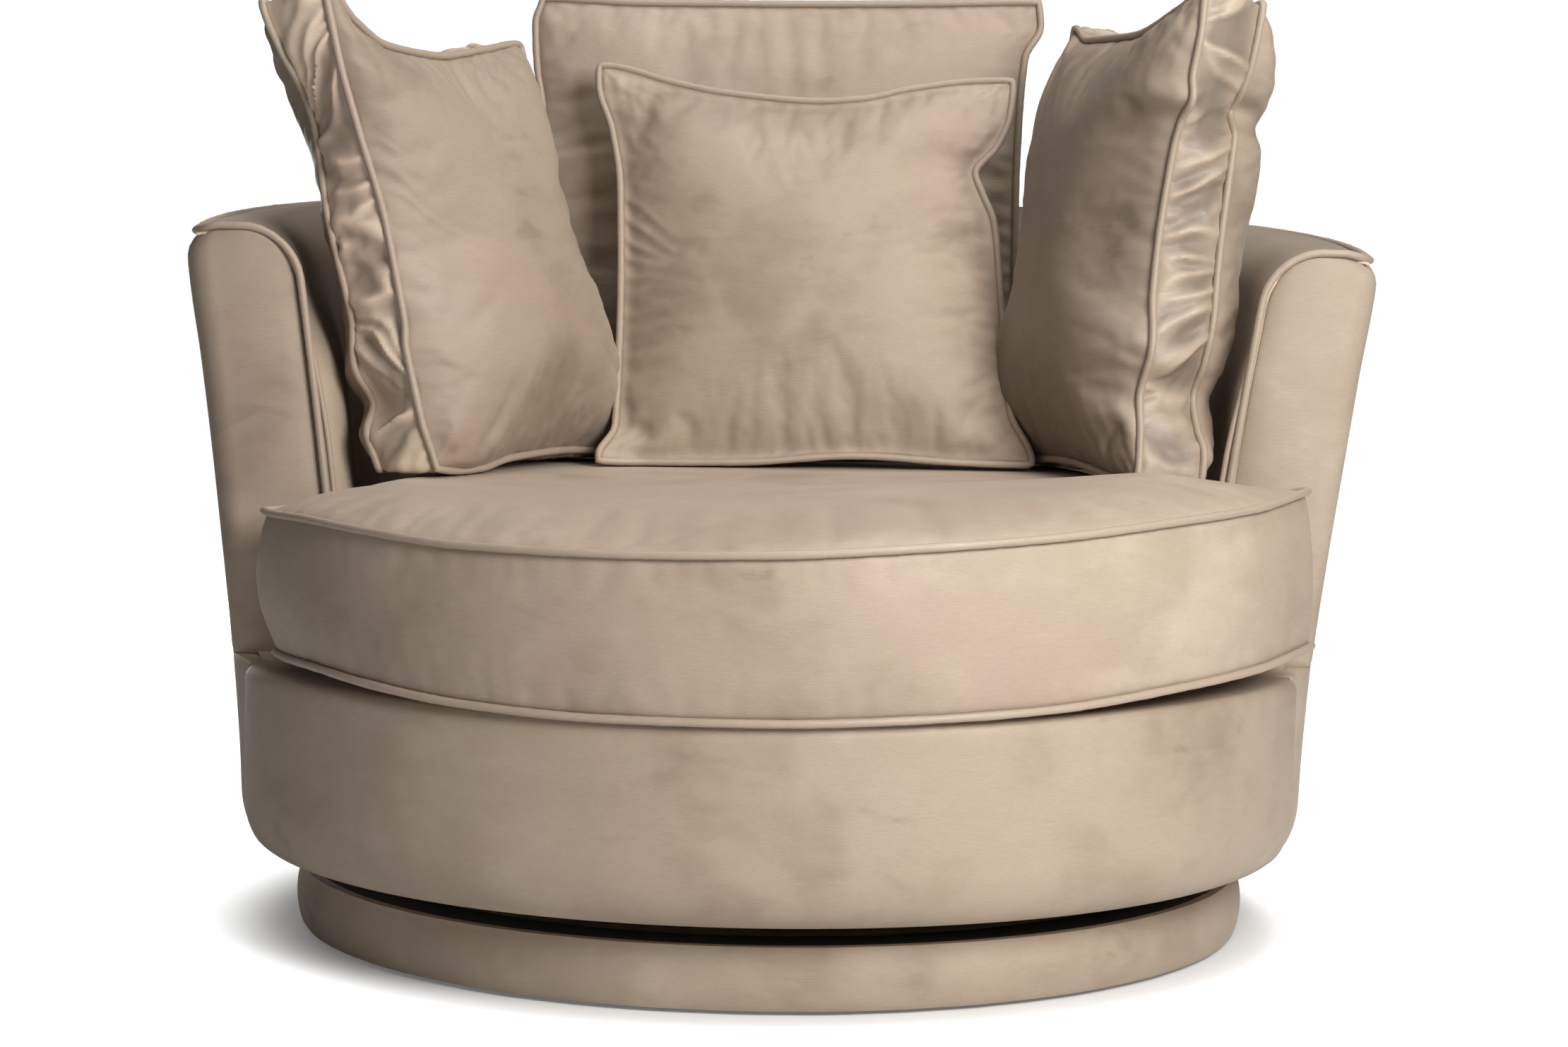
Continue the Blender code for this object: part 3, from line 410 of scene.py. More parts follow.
class EffectGroup:
    """A shader node group that several materials share."""

    def __init__(self, name: str, inputs: dict[str, str], outputs: dict[str, str]) -> None:
        """Opens an empty group.

        Args:
            name: the group's name.
            inputs: each input's name and its kind of socket.
            outputs: each output's name and its kind of socket.
        """
        self.tree = bpy.data.node_groups.new(name, "ShaderNodeTree")
        for way, labels in (("INPUT", inputs), ("OUTPUT", outputs)):
            for label, kind in labels.items():
                self.tree.interface.new_socket(label, in_out=way, socket_type=f"NodeSocket{kind}")
        self.bench = NodeBench(self.tree)
        self.source = self.tree.nodes.new("NodeGroupInput").outputs
        self.result = self.tree.nodes.new("NodeGroupOutput")


def crushed_pile_group() -> EffectGroup:
    """Builds the look of velvet pile that hands have brushed both ways.

    Returns:
        The group, which puts out the colour, the roughness and the height of the pile.
    """
    colours = {"Light": "Color", "Middle": "Color", "Shade": "Color"}
    group = EffectGroup(
        "crushed_pile",
        {"Vector": "Vector", **colours, "Gloss": "Float", "Patch Strength": "Float"},
        {"Colour": "Color", "Roughness": "Float", "Height": "Float"},
    )
    bench, source = group.bench, group.source
    vector = source["Vector"]
    broad = bench.noise(vector, 2.4, 2.0, 0.5, 0.4)
    patches = bench.noise(vector, 7.0, 3.0, 0.55, 0.5)
    strokes = bench.noise(bench.stretch(vector, (13.0, 13.0, 30.0)), 1.0, 3.0, 0.6, 0.3)
    marks = bench.noise(bench.stretch(vector, (9.0, 9.0, 19.0)), 1.0, 4.0, 0.62, 0.5)
    threads = bench.noise(bench.stretch(vector, (90.0, 90.0, 1500.0)), 1.0, 2.0, 0.6)
    grain = bench.noise(vector, 900.0, 2.0, 0.7)
    fold = bench.maths("MULTIPLY", bench.span(broad, 0.3, 0.7, -1.0, 1.0), 0.44)
    patch = bench.maths("MULTIPLY", bench.span(patches, 0.3, 0.7, -1.0, 1.0), 0.34)
    stroke = bench.maths("MULTIPLY", bench.span(strokes, 0.25, 0.75, -1.0, 1.0), 0.18)
    mark = bench.span(marks, 0.60, 0.74, 0.0, -0.42)
    total = bench.maths("ADD", bench.maths("ADD", fold, patch), bench.maths("ADD", stroke, mark))
    scaled = bench.maths("MULTIPLY", total, source["Patch Strength"])
    lift = bench.span(scaled, 0.0, 1.0, 0.0, 1.0)
    drop = bench.span(bench.maths("MULTIPLY", scaled, -1.0), 0.0, 1.0, 0.0, 1.0)
    colour = bench.blend(lift, source["Middle"], source["Light"])
    colour = bench.blend(drop, colour, source["Shade"])
    rosy = bench.span(bench.noise(vector, 3.9, 2.0, 0.5, 0.3), 0.52, 0.72, 0.0, 0.50)
    colour = bench.blend(rosy, colour, ROSY_TINT)
    mossy = bench.span(bench.noise(vector, 5.1, 2.0, 0.5, 0.4), 0.56, 0.76, 0.0, 0.32)
    colour = bench.blend(mossy, colour, MOSSY_TINT)
    fine = bench.span(threads, 0.3, 0.7, -0.5, 0.5)
    speck = bench.maths("MULTIPLY", bench.span(grain, 0.3, 0.7, -0.5, 0.5), 0.7)
    tone = bench.maths("ADD", fine, speck)
    darker = bench.span(tone, -0.9, 0.9, 0.13, 0.0)
    colour = bench.blend(darker, colour, THREAD_TINT)
    gloss = bench.maths("ADD", bench.maths("MULTIPLY", scaled, -0.06), source["Gloss"])
    pile_and_painted_light = bench.maths("ADD", bench.maths("MULTIPLY", tone, 0.4), total)
    bench.fill(group.result, {"Colour": colour, "Roughness": gloss, "Height": pile_and_painted_light})
    return group


@dataclass(frozen=True)
class VelvetFinish:
    """Short-pile velvet in one shade of mink.

    The colours are linear. Gloss is the pile's mean roughness, and patches says how strongly
    the brushed patches show. Against and along are painted shade and painted light: the
    brightness at 0 and at 1 on the named layer, which is the facing of the surface towards the
    key lamp's way on most finishes and the depth of the folds on the boxings.
    """

    name: str = "mink_velvet"
    light: Colour = (0.560, 0.455, 0.348)
    middle: Colour = (0.455, 0.357, 0.264)
    shade: Colour = (0.325, 0.245, 0.174)
    gloss: float = 0.52
    patches: float = 1.0
    specular: float = 0.36
    sheen: float = 0.16
    sheen_roughness: float = 0.45
    sheen_tint: Colour = (0.95, 0.86, 0.74)
    nap_depth: float = 0.0005
    layer: str = PAINTED_LIGHT_LAYER
    against: float = 0.62
    along: float = 1.00
    shift: Colour = (0.0, 0.0, 0.0)

    def material(self, pile: EffectGroup) -> bpy.types.Material:
        """Makes the material.

        Args:
            pile: the shared look of brushed pile.

        Returns:
            The velvet's material.
        """
        made, bench, shader = new_material(self.name)
        place = bench.add("TexCoord").outputs["Object"]
        moved = bench.add("Mapping", {"Vector": place, "Location": self.shift})
        sockets = {
            "Vector": moved.outputs["Vector"],
            "Light": self.light,
            "Middle": self.middle,
            "Shade": self.shade,
            "Gloss": self.gloss,
            "Patch Strength": self.patches,
        }
        look = bench.add("Group", sockets, node_tree=pile.tree).outputs
        # Painted light and shade: the layer scales the base colour from against to along.
        pile_and_painted_light = bench.add("Attribute", attribute_name=self.layer).outputs["Fac"]
        lit = bench.span(pile_and_painted_light, 0.0, 1.0, self.against, self.along)
        turned = bench.add("VectorMath", {0: look["Colour"], "Scale": lit}, operation="SCALE")
        bench.bump(shader, look["Height"], 0.5, self.nap_depth)
        bench.fill(shader, {
            "Base Color": turned.outputs["Vector"],
            "Roughness": look["Roughness"],
            "Specular IOR Level": self.specular,
            "Sheen Weight": self.sheen,
            "Sheen Roughness": self.sheen_roughness,
            "Sheen Tint": self.sheen_tint,
        })
        return made


class Grain(Enum):
    """The kinds of surface pattern that the hidden pieces have."""

    WOOD = "wood"
    BRUSHED = "brushed"
    MOULDED = "moulded"
    MATTED = "matted"


def grey(level: float, blue: float | None = None) -> Colour:
    """Returns a grey, whose blue may differ a little."""
    return (level, level, level if blue is None else blue)


@dataclass(frozen=True)
class PlainFinish:
    """A finish of a hidden piece: two colours, a grain and its gloss."""

    name: str
    grain: Grain
    light: Colour
    dark: Colour
    roughness: float
    metallic: float = 0.0

    def pattern(self, bench: NodeBench, place: bpy.types.NodeSocket) -> bpy.types.NodeSocket:
        """Adds the grain's pattern.

        Args:
            bench: the material's nodes.
            place: the coordinates that it reads.

        Returns:
            The pattern's value, from 0 to 1.
        """
        if self.grain is Grain.WOOD:
            return bench.noise(bench.stretch(place, (6.0, 70.0, 120.0)), 1.0, 4.0, 0.6, 0.8)
        if self.grain is Grain.BRUSHED:
            return bench.noise(bench.stretch(place, (30.0, 900.0, 900.0)), 1.0, 3.0, 0.6)
        if self.grain is Grain.MATTED:
            return bench.noise(place, 420.0, 4.0, 0.8, 1.5)
        return bench.noise(place, 700.0, 2.0, 0.5)

    def material(self) -> bpy.types.Material:
        """Makes the material.

        Returns:
            The finish's material.
        """
        made, bench, shader = new_material(self.name)
        value = self.pattern(bench, bench.add("TexCoord").outputs["Object"])
        mask = bench.span(value, 0.3, 0.7, 0.0, 1.0)
        rough = bench.span(value, 0.3, 0.7, self.roughness + 0.06, self.roughness - 0.06)
        bench.bump(shader, value, 0.4, 0.0004)
        colour = bench.blend(mask, self.dark, self.light)
        bench.fill(shader, {"Base Color": colour, "Roughness": rough, "Metallic": self.metallic})
        return made


@dataclass
class Wardrobe:
    """Every material of the chair, made once."""

    made: dict[str, bpy.types.Material] = field(default_factory=dict)

    def fill(self) -> None:
        """Makes the materials."""
        pile = crushed_pile_group()
        for velvet in (
            VelvetFinish(),
            VelvetFinish("drum_velvet", shift=(3.1, 0.4, 1.0)),
            VelvetFinish("plinth_velvet", shift=(5.0, 2.0, 0.7), gloss=0.55),
            VelvetFinish("tub_velvet", shift=(1.3, 4.0, 2.0)),
            VelvetFinish("seat_velvet", shift=(7.7, 1.9, 0.3)),
            # Copies with painted light and shade of their own. pad_velvet is lighter on the pad's
            # walls and darker on its top. lit_velvet is toned down for the cushion that faces the
            # key lamp. shaded_velvet paints deeper shade. The boxing finishes paint shade in the
            # folds' troughs and light on their crests.
            VelvetFinish("pad_velvet", shift=(1.3, 4.0, 2.0), against=0.60, along=1.75),
            VelvetFinish("lit_velvet", shift=(0.6, 2.7, 5.2), against=0.45, along=0.88),
            VelvetFinish(
                "lit_gathered_velvet", gloss=0.40, specular=0.7, patches=0.3, sheen=0.2,
                layer=FOLD_SHADE_LAYER, against=0.95, along=1.80,
            ),
            VelvetFinish(
                "fold_shaded_velvet", gloss=0.40, specular=0.5, patches=0.4, sheen=0.05,
                layer=FOLD_SHADE_LAYER, against=0.58, along=1.24,
            ),
            VelvetFinish("shaded_velvet", shift=(2.2, 5.1, 3.0), against=0.34),
            VelvetFinish(
                "velvet_piping", gloss=0.42, patches=0.4, specular=0.5, against=0.72, along=0.98
            ),
        ):
            self.made[velvet.name] = velvet.material(pile)
        for plain in (
            PlainFinish("birch_plywood", Grain.WOOD, (0.66, 0.49, 0.31), (0.48, 0.33, 0.19), 0.6),
            PlainFinish(
                "pressed_steel", Grain.BRUSHED, grey(0.5, 0.51), grey(0.36, 0.37), 0.4, 1.0
            ),
            PlainFinish("zinc_plating", Grain.BRUSHED, grey(0.66, 0.64), grey(0.5), 0.32, 1.0),
            PlainFinish("black_nylon", Grain.MOULDED, grey(0.04), grey(0.02), 0.45),
            PlainFinish("grey_felt", Grain.MATTED, grey(0.36, 0.34), grey(0.2, 0.19), 0.92),
            # Real dust cloth, and also painted shade on the plinth's top in the gap under the
            # drum.
            PlainFinish("black_dust_cloth", Grain.MATTED, grey(0.035), grey(0.012), 0.85),
        ):
            self.made[plain.name] = plain.material()

    def dress(self, piece: bpy.types.Object, *names: str) -> None:
        """Gives a piece its materials, and writes its painted light and shade from the way each
        point faces.

        Args:
            piece: the object to dress.
            *names: the materials' names, in the order of the piece's slots.
        """
        kinds = [face.material_index for face in piece.data.polygons]
        piece.data.materials.clear()
        for name in names:
            piece.data.materials.append(self.made[name])
        piece.data.polygons.foreach_set("material_index", kinds)
        # Painted light and shade, from the way each point faces. The inner pad has a way of its
        # own.
        if "velvet" in names[0]:
            way = np.array(PAD_PAINTED_LIGHT_WAY if names[0] == "pad_velvet" else PAINTED_LIGHT_WAY)
            write_layer(piece, PAINTED_LIGHT_LAYER, np.clip(0.5 + 0.5 * read_normals(piece) @ way, 0.0, 1.0))

    def pipe(self, cord: bpy.types.Object, node: str, body: str) -> None:
        """Dresses a piping and ties it to its solid and its body."""
        self.dress(cord, "velvet_piping")
        tie(cord, node, body)


@dataclass(frozen=True)
class ChairPlan:
    """The chair's main sizes, which every sub-assembly shares."""

    drum_radius: float = 0.5535
    drum_bottom: float = 0.0885
    drum_edge_inset: float = 0.031
    drum_edge_height: float = 0.0565
    deck_height: float = 0.280
    band_proud: float = 0.003
    half_width: float = 0.6145
    half_depth: float = 0.565
    squareness: float = 2.3
    arm_height: float = 0.710
    back_rise: float = 0.055
    facing_y: float = -0.110
    facing_corner: float = 0.032
    wall: float = 0.108
    roll: float = 0.050
    seam_drop: float = 0.003
    piping: float = 0.004
    flare_start: float = 0.145
    flare_power: float = 1.3
    lean: float = 0.006
    sink: float = 0.001
    tilt: float = 0.0117

    def sizes(self, z: float, inset: float) -> tuple[float, float, float]:
        """Gives the plan's half width, half depth and squareness at a height.

        Args:
            z: the height.
            inset: how far inside the outer surface.

        Returns:
            The half width, the half depth and the power of the rounded plan.
        """
        rise = max(0.0, (z - self.flare_start) / (self.arm_height - self.flare_start))
        share = rise**self.flare_power
        half_width = self.drum_radius + share * (self.half_width - self.drum_radius) - inset
        half_depth = self.drum_radius + share * (self.half_depth - self.drum_radius) - inset
        return half_width, half_depth, 2 + share * (self.squareness - 2)

    def x_at(self, y: float, z: float, inset: float) -> float:
        """Returns how far the tub reaches sideways at a place along its depth."""
        half_width, half_depth, power = self.sizes(z, inset)
        return half_width * (1 - min(abs(y) / half_depth, 1.0) ** power) ** (1 / power)

    def point(self, side: float, share: float, z: float, inset: float, start_y: float) -> Vector:
        """Gives a point of the tub's wall.

        Args:
            side: 1 for the side at +X, or -1.
            share: how far along the wall, from 0 at start_y to 1 at the back.
            z: the height.
            inset: how far inside the outer surface.
            start_y: where the wall starts.

        Returns:
            The point.
        """
        half_width, half_depth, power = self.sizes(z, inset)
        start = math.asin(start_y / half_depth)
        turn = start + (math.pi / 2 - start) * share
        lengthways = min(abs(math.sin(turn)), 1.0)
        x = half_width * (1 - lengthways**power) ** (1 / power)
        return Vector((side * x, half_depth * math.sin(turn), z))

    def rim(self, y: float) -> float:
        """Returns the height of the tub's top at a place along its depth."""
        start = self.facing_y + self.facing_corner
        return self.arm_height + self.back_rise * max(y - start, 0.0) / (self.half_depth - start)

    def drum_inset(self, z: float) -> float:
        """Gives how far the rounded bottom edge of the drum lies inside its side.

        Args:
            z: the height.

        Returns:
            The distance.
        """
        rise = (z - self.drum_bottom) / self.drum_edge_height
        if rise >= 1.0:
            return 0.0
        sweep = math.sqrt(max(1 - (1 - max(rise, 0.0)) ** 2, 0.0))
        return self.drum_edge_inset * (1 - sweep)

    def settle(self, points: np.ndarray) -> np.ndarray:
        """Leans the tub a little to its right-hand side, as it stands in the photograph.

        Args:
            points: places on the upright tub, one row each.

        Returns:
            The same places on the leaning tub.
        """
        upright = self.arm_height - self.deck_height
        rise = np.clip((points[:, 2] - self.deck_height) / upright, 0.0, 1.0)
        moved = points.copy()
        moved[:, 0] += self.lean * rise
        moved[:, 2] += (-self.sink - self.tilt * points[:, 0]) * rise
        return moved

    def roll_drop(self, inset_from_edge: float) -> float:
        """Returns how far the rounded inner edge of the arm's top lies below the top."""
        rest = max(self.roll - inset_from_edge, 0.0)
        return self.roll - math.sqrt(max(self.roll**2 - rest**2, 0.0))


def along_stops(stops: Stops, places: np.ndarray) -> np.ndarray:
    """Draws a smooth curve through a few stops, without overshooting them.

    Args:
        stops: each stop's place and value, in order of their places.
        places: where the curve is read.

    Returns:
        The curve's value at each place.
    """
    spots, values = np.array(stops).T
    gaps = np.diff(spots)
    slopes = np.diff(values) / gaps
    bends = np.zeros(len(spots))
    for index in range(1, len(spots) - 1):
        before, after = slopes[index - 1], slopes[index]
        if before * after > 0:
            bends[index] = 2 * before * after / (before + after)
    piece = np.clip(np.searchsorted(spots, places) - 1, 0, len(gaps) - 1)
    part = np.clip((places - spots[piece]) / gaps[piece], 0.0, 1.0)
    start, end = values[piece], values[piece + 1]
    lean_in, lean_out = bends[piece] * gaps[piece], bends[piece + 1] * gaps[piece]
    square, cube = part**2, part**3
    curve = start * (2 * cube - 3 * square + 1) + end * (3 * square - 2 * cube)
    return curve + lean_in * (cube - 2 * square + part) + lean_out * (cube - square)


def grid_faces(rows: int, columns: int, first: int = 0) -> list[tuple[int, int, int, int]]:
    """Gives the faces of a grid of points.

    Args:
        rows: how many rows of points there are.
        columns: how many points each row has.
        first: the number of the grid's first point.

    Returns:
        The four corners of each face.
    """
    faces = []
    for row in range(rows - 1):
        for column in range(columns - 1):
            here = first + row * columns + column
            faces.append((here, here + 1, here + columns + 1, here + columns))
    return faces


def lathe(name: str, profile: Sequence[tuple[float, float]], sides: int) -> bpy.types.Object:
    """Turns a closed profile into a ring, loop by loop, with extrude, resize and bridge.

    Args:
        name: the piece's name.
        profile: the radius and height of each corner of the section, in order.
        sides: how many sides the ring has.

    Returns:
        The ring, at the origin.
    """
    deselect_all()
    radius, height = profile[0]
    bpy.ops.mesh.primitive_circle_add(vertices=sides, radius=radius, location=(0, 0, height))
    piece = bpy.context.object
    piece.name = name
    bpy.ops.object.transform_apply(location=True, rotation=True, scale=True)
    bpy.ops.object.mode_set(mode="EDIT")
    bpy.ops.mesh.select_all(action="SELECT")
    for (old_radius, old_height), (new_radius, new_height) in zip(profile, profile[1:]):
        rise = (0.0, 0.0, new_height - old_height)
        bpy.ops.mesh.extrude_region_move(TRANSFORM_OT_translate={"value": rise})
        grow = (new_radius / old_radius, new_radius / old_radius, 1.0)
        bpy.ops.transform.resize(value=grow, center_override=(0.0, 0.0, new_height))
    bpy.ops.mesh.select_all(action="DESELECT")
    shell = bmesh.from_edit_mesh(piece.data)
    for edge in shell.edges:
        edge.select_set(edge.is_boundary)
    bmesh.update_edit_mesh(piece.data)
    bpy.ops.mesh.bridge_edge_loops()
    bpy.ops.mesh.select_all(action="SELECT")
    bpy.ops.mesh.normals_make_consistent(inside=False)
    bpy.ops.object.mode_set(mode="OBJECT")
    return piece


def tube(name: str, route: np.ndarray, radius: float, closed: bool) -> bpy.types.Object:
    """Makes a covered cord along a route, with the slight waver and puckers of sewn piping.

    Args:
        name: the piece's name.
        route: the points along the cord's middle.
        radius: the cord's radius.
        closed: True if the cord runs round on itself.

    Returns:
        The cord, as a mesh.
    """
    data = bpy.data.curves.new(name, "CURVE")
    data.dimensions = "3D"
    data.bevel_depth = radius
    data.bevel_resolution = 3
    data.use_fill_caps = not closed
    spline = data.splines.new("POLY")
    spline.points.add(len(route) - 1)
    swells = 0.06 * ripple(route, 45.0, 3.0) + 0.09 * ripple(route, 150.0, 7.0)
    for slot, place, swell in zip(spline.points, route, swells):
        slot.co = (*place, 1.0)
        slot.radius = 1.0 + swell
    spline.use_cyclic_u = closed
    piece = bpy.data.objects.new(name, data)
    bpy.context.scene.collection.objects.link(piece)
    make_active(piece)
    bpy.ops.object.convert(target="MESH")
    piece = bpy.context.object
    shade_softly(piece, 60.0)
    return piece


def even_route(points: np.ndarray, step: float, closed: bool) -> np.ndarray:
    """Spreads points evenly along a route.

    Args:
        points: the route's corners.
        step: the distance between the new points.
        closed: True if the route runs round on itself.

    Returns:
        The new points.
    """
    corners = np.vstack([points, points[:1]]) if closed else points
    lengths = np.linalg.norm(np.diff(corners, axis=0), axis=1)
    travel = np.concatenate([[0.0], np.cumsum(lengths)])
    count = max(int(round(travel[-1] / step)), 8)
    spots = np.linspace(0.0, travel[-1], count + 1)
    if closed:
        spots = spots[:-1]
    return np.stack([np.interp(spots, travel, corners[:, axis]) for axis in range(3)], axis=1)


@dataclass
class PlinthLooks:
    """The padded plinth that the chair turns on."""

    wardrobe: Wardrobe
    radius: float = 0.496
    foot_inset: float = 0.009
    height: float = 0.064
    foot: float = 0.0043
    lip: float = 0.437
    inner: float = 0.4823
    thickness: float = 0.003
    top_fold: float = 0.0004
    seam_angle: float = -2.075
    seam_lean: float = 0.012
    sides: int = 288

    def profile(self) -> list[tuple[float, float]]:
        """Gives the section of the padded cover.

        Returns:
            The radius and height of each corner, round its outside and back along its inside.
        """
        foot = self.radius - self.foot_inset
        section = [(self.lip, self.foot), (foot - 0.004, self.foot)]
        for rise in np.linspace(0.0, 1.0, 13):
            bow = math.sin(math.pi * (0.06 + 0.88 * rise)) ** 0.55
            height = self.foot + (self.height - self.foot) * rise
            section.append((foot + self.foot_inset * bow, height))
        under, above = self.height - self.thickness, self.foot + self.thickness
        section += [
            (foot - 0.006, self.height),
            (foot - 0.010, self.height - self.top_fold),
            (self.lip, self.height - self.top_fold),
            (self.lip, under),
            (self.inner, under),
            (self.inner, above),
            (self.lip, above),
        ]
        return section

    def build(self) -> bpy.types.Object:
        """Builds the cover, with its sewn seam and its slack at the top.

        Returns:
            The cover.
        """
        piece = lathe("plinth_cover_padded", self.profile(), self.sides)
        points = read_points(piece)
        angle = np.arctan2(points[:, 1], points[:, 0])
        radius = np.hypot(points[:, 0], points[:, 1])
        outer = np.clip((radius - self.inner - 0.002) / 0.004, 0.0, 1.0)
        lift = (points[:, 2] - self.foot) / (self.height - self.foot)
        lean = self.seam_lean * (lift - 0.5)
        off = (angle - self.seam_angle - lean) * self.radius
        groove = 0.0022 * np.exp(-((off / 0.0022) ** 2)) - 0.0007 * np.exp(-((off / 0.009) ** 2))
        wave = 0.0012 * ripple(points, 9.0, 2.0) + 0.0007 * ripple(points, 28.0, 5.0)
        push_out(points, outer * (wave - groove))
        write_points(piece, points)
        shade_softly(piece)
        self.wardrobe.dress(piece, "plinth_velvet", "black_dust_cloth")
        # Painted shade: the plinth's top inside its rounded edge, under the drum, is dressed near
        # black for the shadow in the gap.
        painted_shade_edge = self.radius - self.foot_inset - 0.007
        for face in piece.data.polygons:
            spot = face.center
            inside = math.hypot(spot.x, spot.y) < painted_shade_edge
            face.material_index = int(spot.z > self.height - 0.004 and inside)
        tie(piece, "plinth_cover", "plinth")
        return piece


@dataclass
class DrumLooks:
    """The front band of the drum and the deck under the seat cushion."""

    plan: ChairPlan
    wardrobe: Wardrobe
    band_end: float = -0.165
    deck_edge: float = 0.266
    sides: int = 360
    lip: float = 0.469
    deck_lip: float = 0.4295
    inner: float = 0.5143

    def profile(self) -> list[tuple[float, float]]:
        """Gives the section of the front band.

        Returns:
            The radius and height of each corner, from its bottom lip round to its deck lip.
        """
        plan = self.plan
        radius = plan.drum_radius + plan.band_proud
        foot = radius - plan.drum_edge_inset - 0.01
        section = [(self.lip, plan.drum_bottom), (foot, plan.drum_bottom)]
        for angle in np.linspace(0.0, math.pi / 2, 11):
            inset = (plan.drum_edge_inset + 0.001) * (1 - math.sin(angle))
            rise = 0.0002 + plan.drum_edge_height * (1 - math.cos(angle))
            section.append((radius - inset, plan.drum_bottom + rise))
        section += [(radius, z) for z in (*SIDE_ROWS, 0.258, self.deck_edge)]
        for angle in np.linspace(0.0, math.pi / 2, 6)[1:]:
            inset, rise = 0.013 * (1 - math.cos(angle)), 0.0138 * math.sin(angle)
            section.append((radius - inset, self.deck_edge + rise))
        section += [
            (self.deck_lip, plan.deck_height - 0.0002),
            (self.deck_lip, plan.deck_height - 0.003),
            (self.inner, plan.deck_height - 0.003),
            (self.inner, plan.drum_bottom + 0.0035),
            (self.lip, plan.drum_bottom + 0.003),
        ]
        return section

    def build_band(self) -> bpy.types.Object:
        """Builds the padded band round the drum's front.

        Returns:
            The band.
        """
        piece = lathe("drum_front_band", self.profile(), self.sides)
        cut = {"plane_co": (0.0, self.band_end, 0.0), "plane_no": (0.0, 1.0, 0.0)}
        edit_whole(piece, lambda: bpy.ops.mesh.bisect(**cut, clear_outer=True, use_fill=True))
        points = read_points(piece)
        radius = np.hypot(points[:, 0], points[:, 1])
        outer = np.clip((radius - self.inner - 0.003) / 0.006, 0.0, 1.0)
        near = np.clip((self.band_end - points[:, 1]) / 0.010, 0.0, 1.0)
        tuck = (self.plan.band_proud + 0.001) * (1 - np.sin(near * math.pi / 2))
        wave = 0.0022 * ripple(points, 4.0, 8.0) + 0.0007 * ripple(points, 14.0, 3.0)
        fade = np.clip((points[:, 2] - 0.09) / 0.03, 0.0, 1.0)
        fade *= np.clip((0.279 - points[:, 2]) / 0.02, 0.0, 1.0)
        push_out(points, outer * (wave * fade - tuck))
        write_points(piece, points)
        shade_softly(piece)
        self.wardrobe.dress(piece, "drum_velvet")
        tie(piece, "drum_cover", "seat")
        return piece

    def build_deck(self) -> bpy.types.Object:
        """Builds the deck's panel, which swells a little where it meets the arms.

        Returns:
            The panel.
        """
        top = self.plan.deck_height - 0.0004
        rings = [0.02, 0.12, 0.22, 0.32, 0.42, 0.47, 0.50, 0.515, 0.528, 0.537]
        turns = np.arange(DECK_SIDES) * math.tau / DECK_SIDES
        points = [(0.0, 0.0, top)]
        for ring in rings:
            points += [(ring * math.cos(turn), ring * math.sin(turn), top) for turn in turns]
        faces: list[Sequence[int]] = []
        for index in range(DECK_SIDES):
            after = (index + 1) % DECK_SIDES
            faces.append((0, 1 + index, 1 + after))
            for here in range(1, len(points) - DECK_SIDES, DECK_SIDES):
                there = here + DECK_SIDES
                faces.append((here + index, there + index, there + after, here + after))
        piece = mesh_piece("deck_cover", np.array(points), faces)
        places = read_points(piece)
        across, along = (np.abs(places[:, 0]) - 0.53) / 0.045, (places[:, 1] + 0.10) / 0.05
        places[:, 2] += 0.006 * np.exp(-(across**2 + along**2))
        write_points(piece, places)
        modify(piece, "SOLIDIFY", thickness=0.0024, offset=-1.0)
        face_outwards(piece)
        shade_softly(piece)
        self.wardrobe.dress(piece, "drum_velvet")
        tie(piece, "deck_panel", "seat")
        return piece

    def build(self) -> None:
        """Builds the band and the deck."""
        self.build_band()
        self.build_deck()


def strip_faces(strips: Sequence[Sequence[int]]) -> list[tuple[int, int, int, int]]:
    """Gives the faces between neighbouring columns of points.

    Args:
        strips: the numbers of each column's points, in order.

    Returns:
        The four corners of each face.
    """
    faces = []
    for left, right in zip(strips, strips[1:]):
        for row in range(len(left) - 1):
            faces.append((left[row], left[row + 1], right[row + 1], right[row]))
    return faces


@dataclass(frozen=True)
class Unevenness:
    """How far a padded panel's surface wavers, how many ripples it has in a metre and which."""

    amount: float
    scale: float
    seed: float


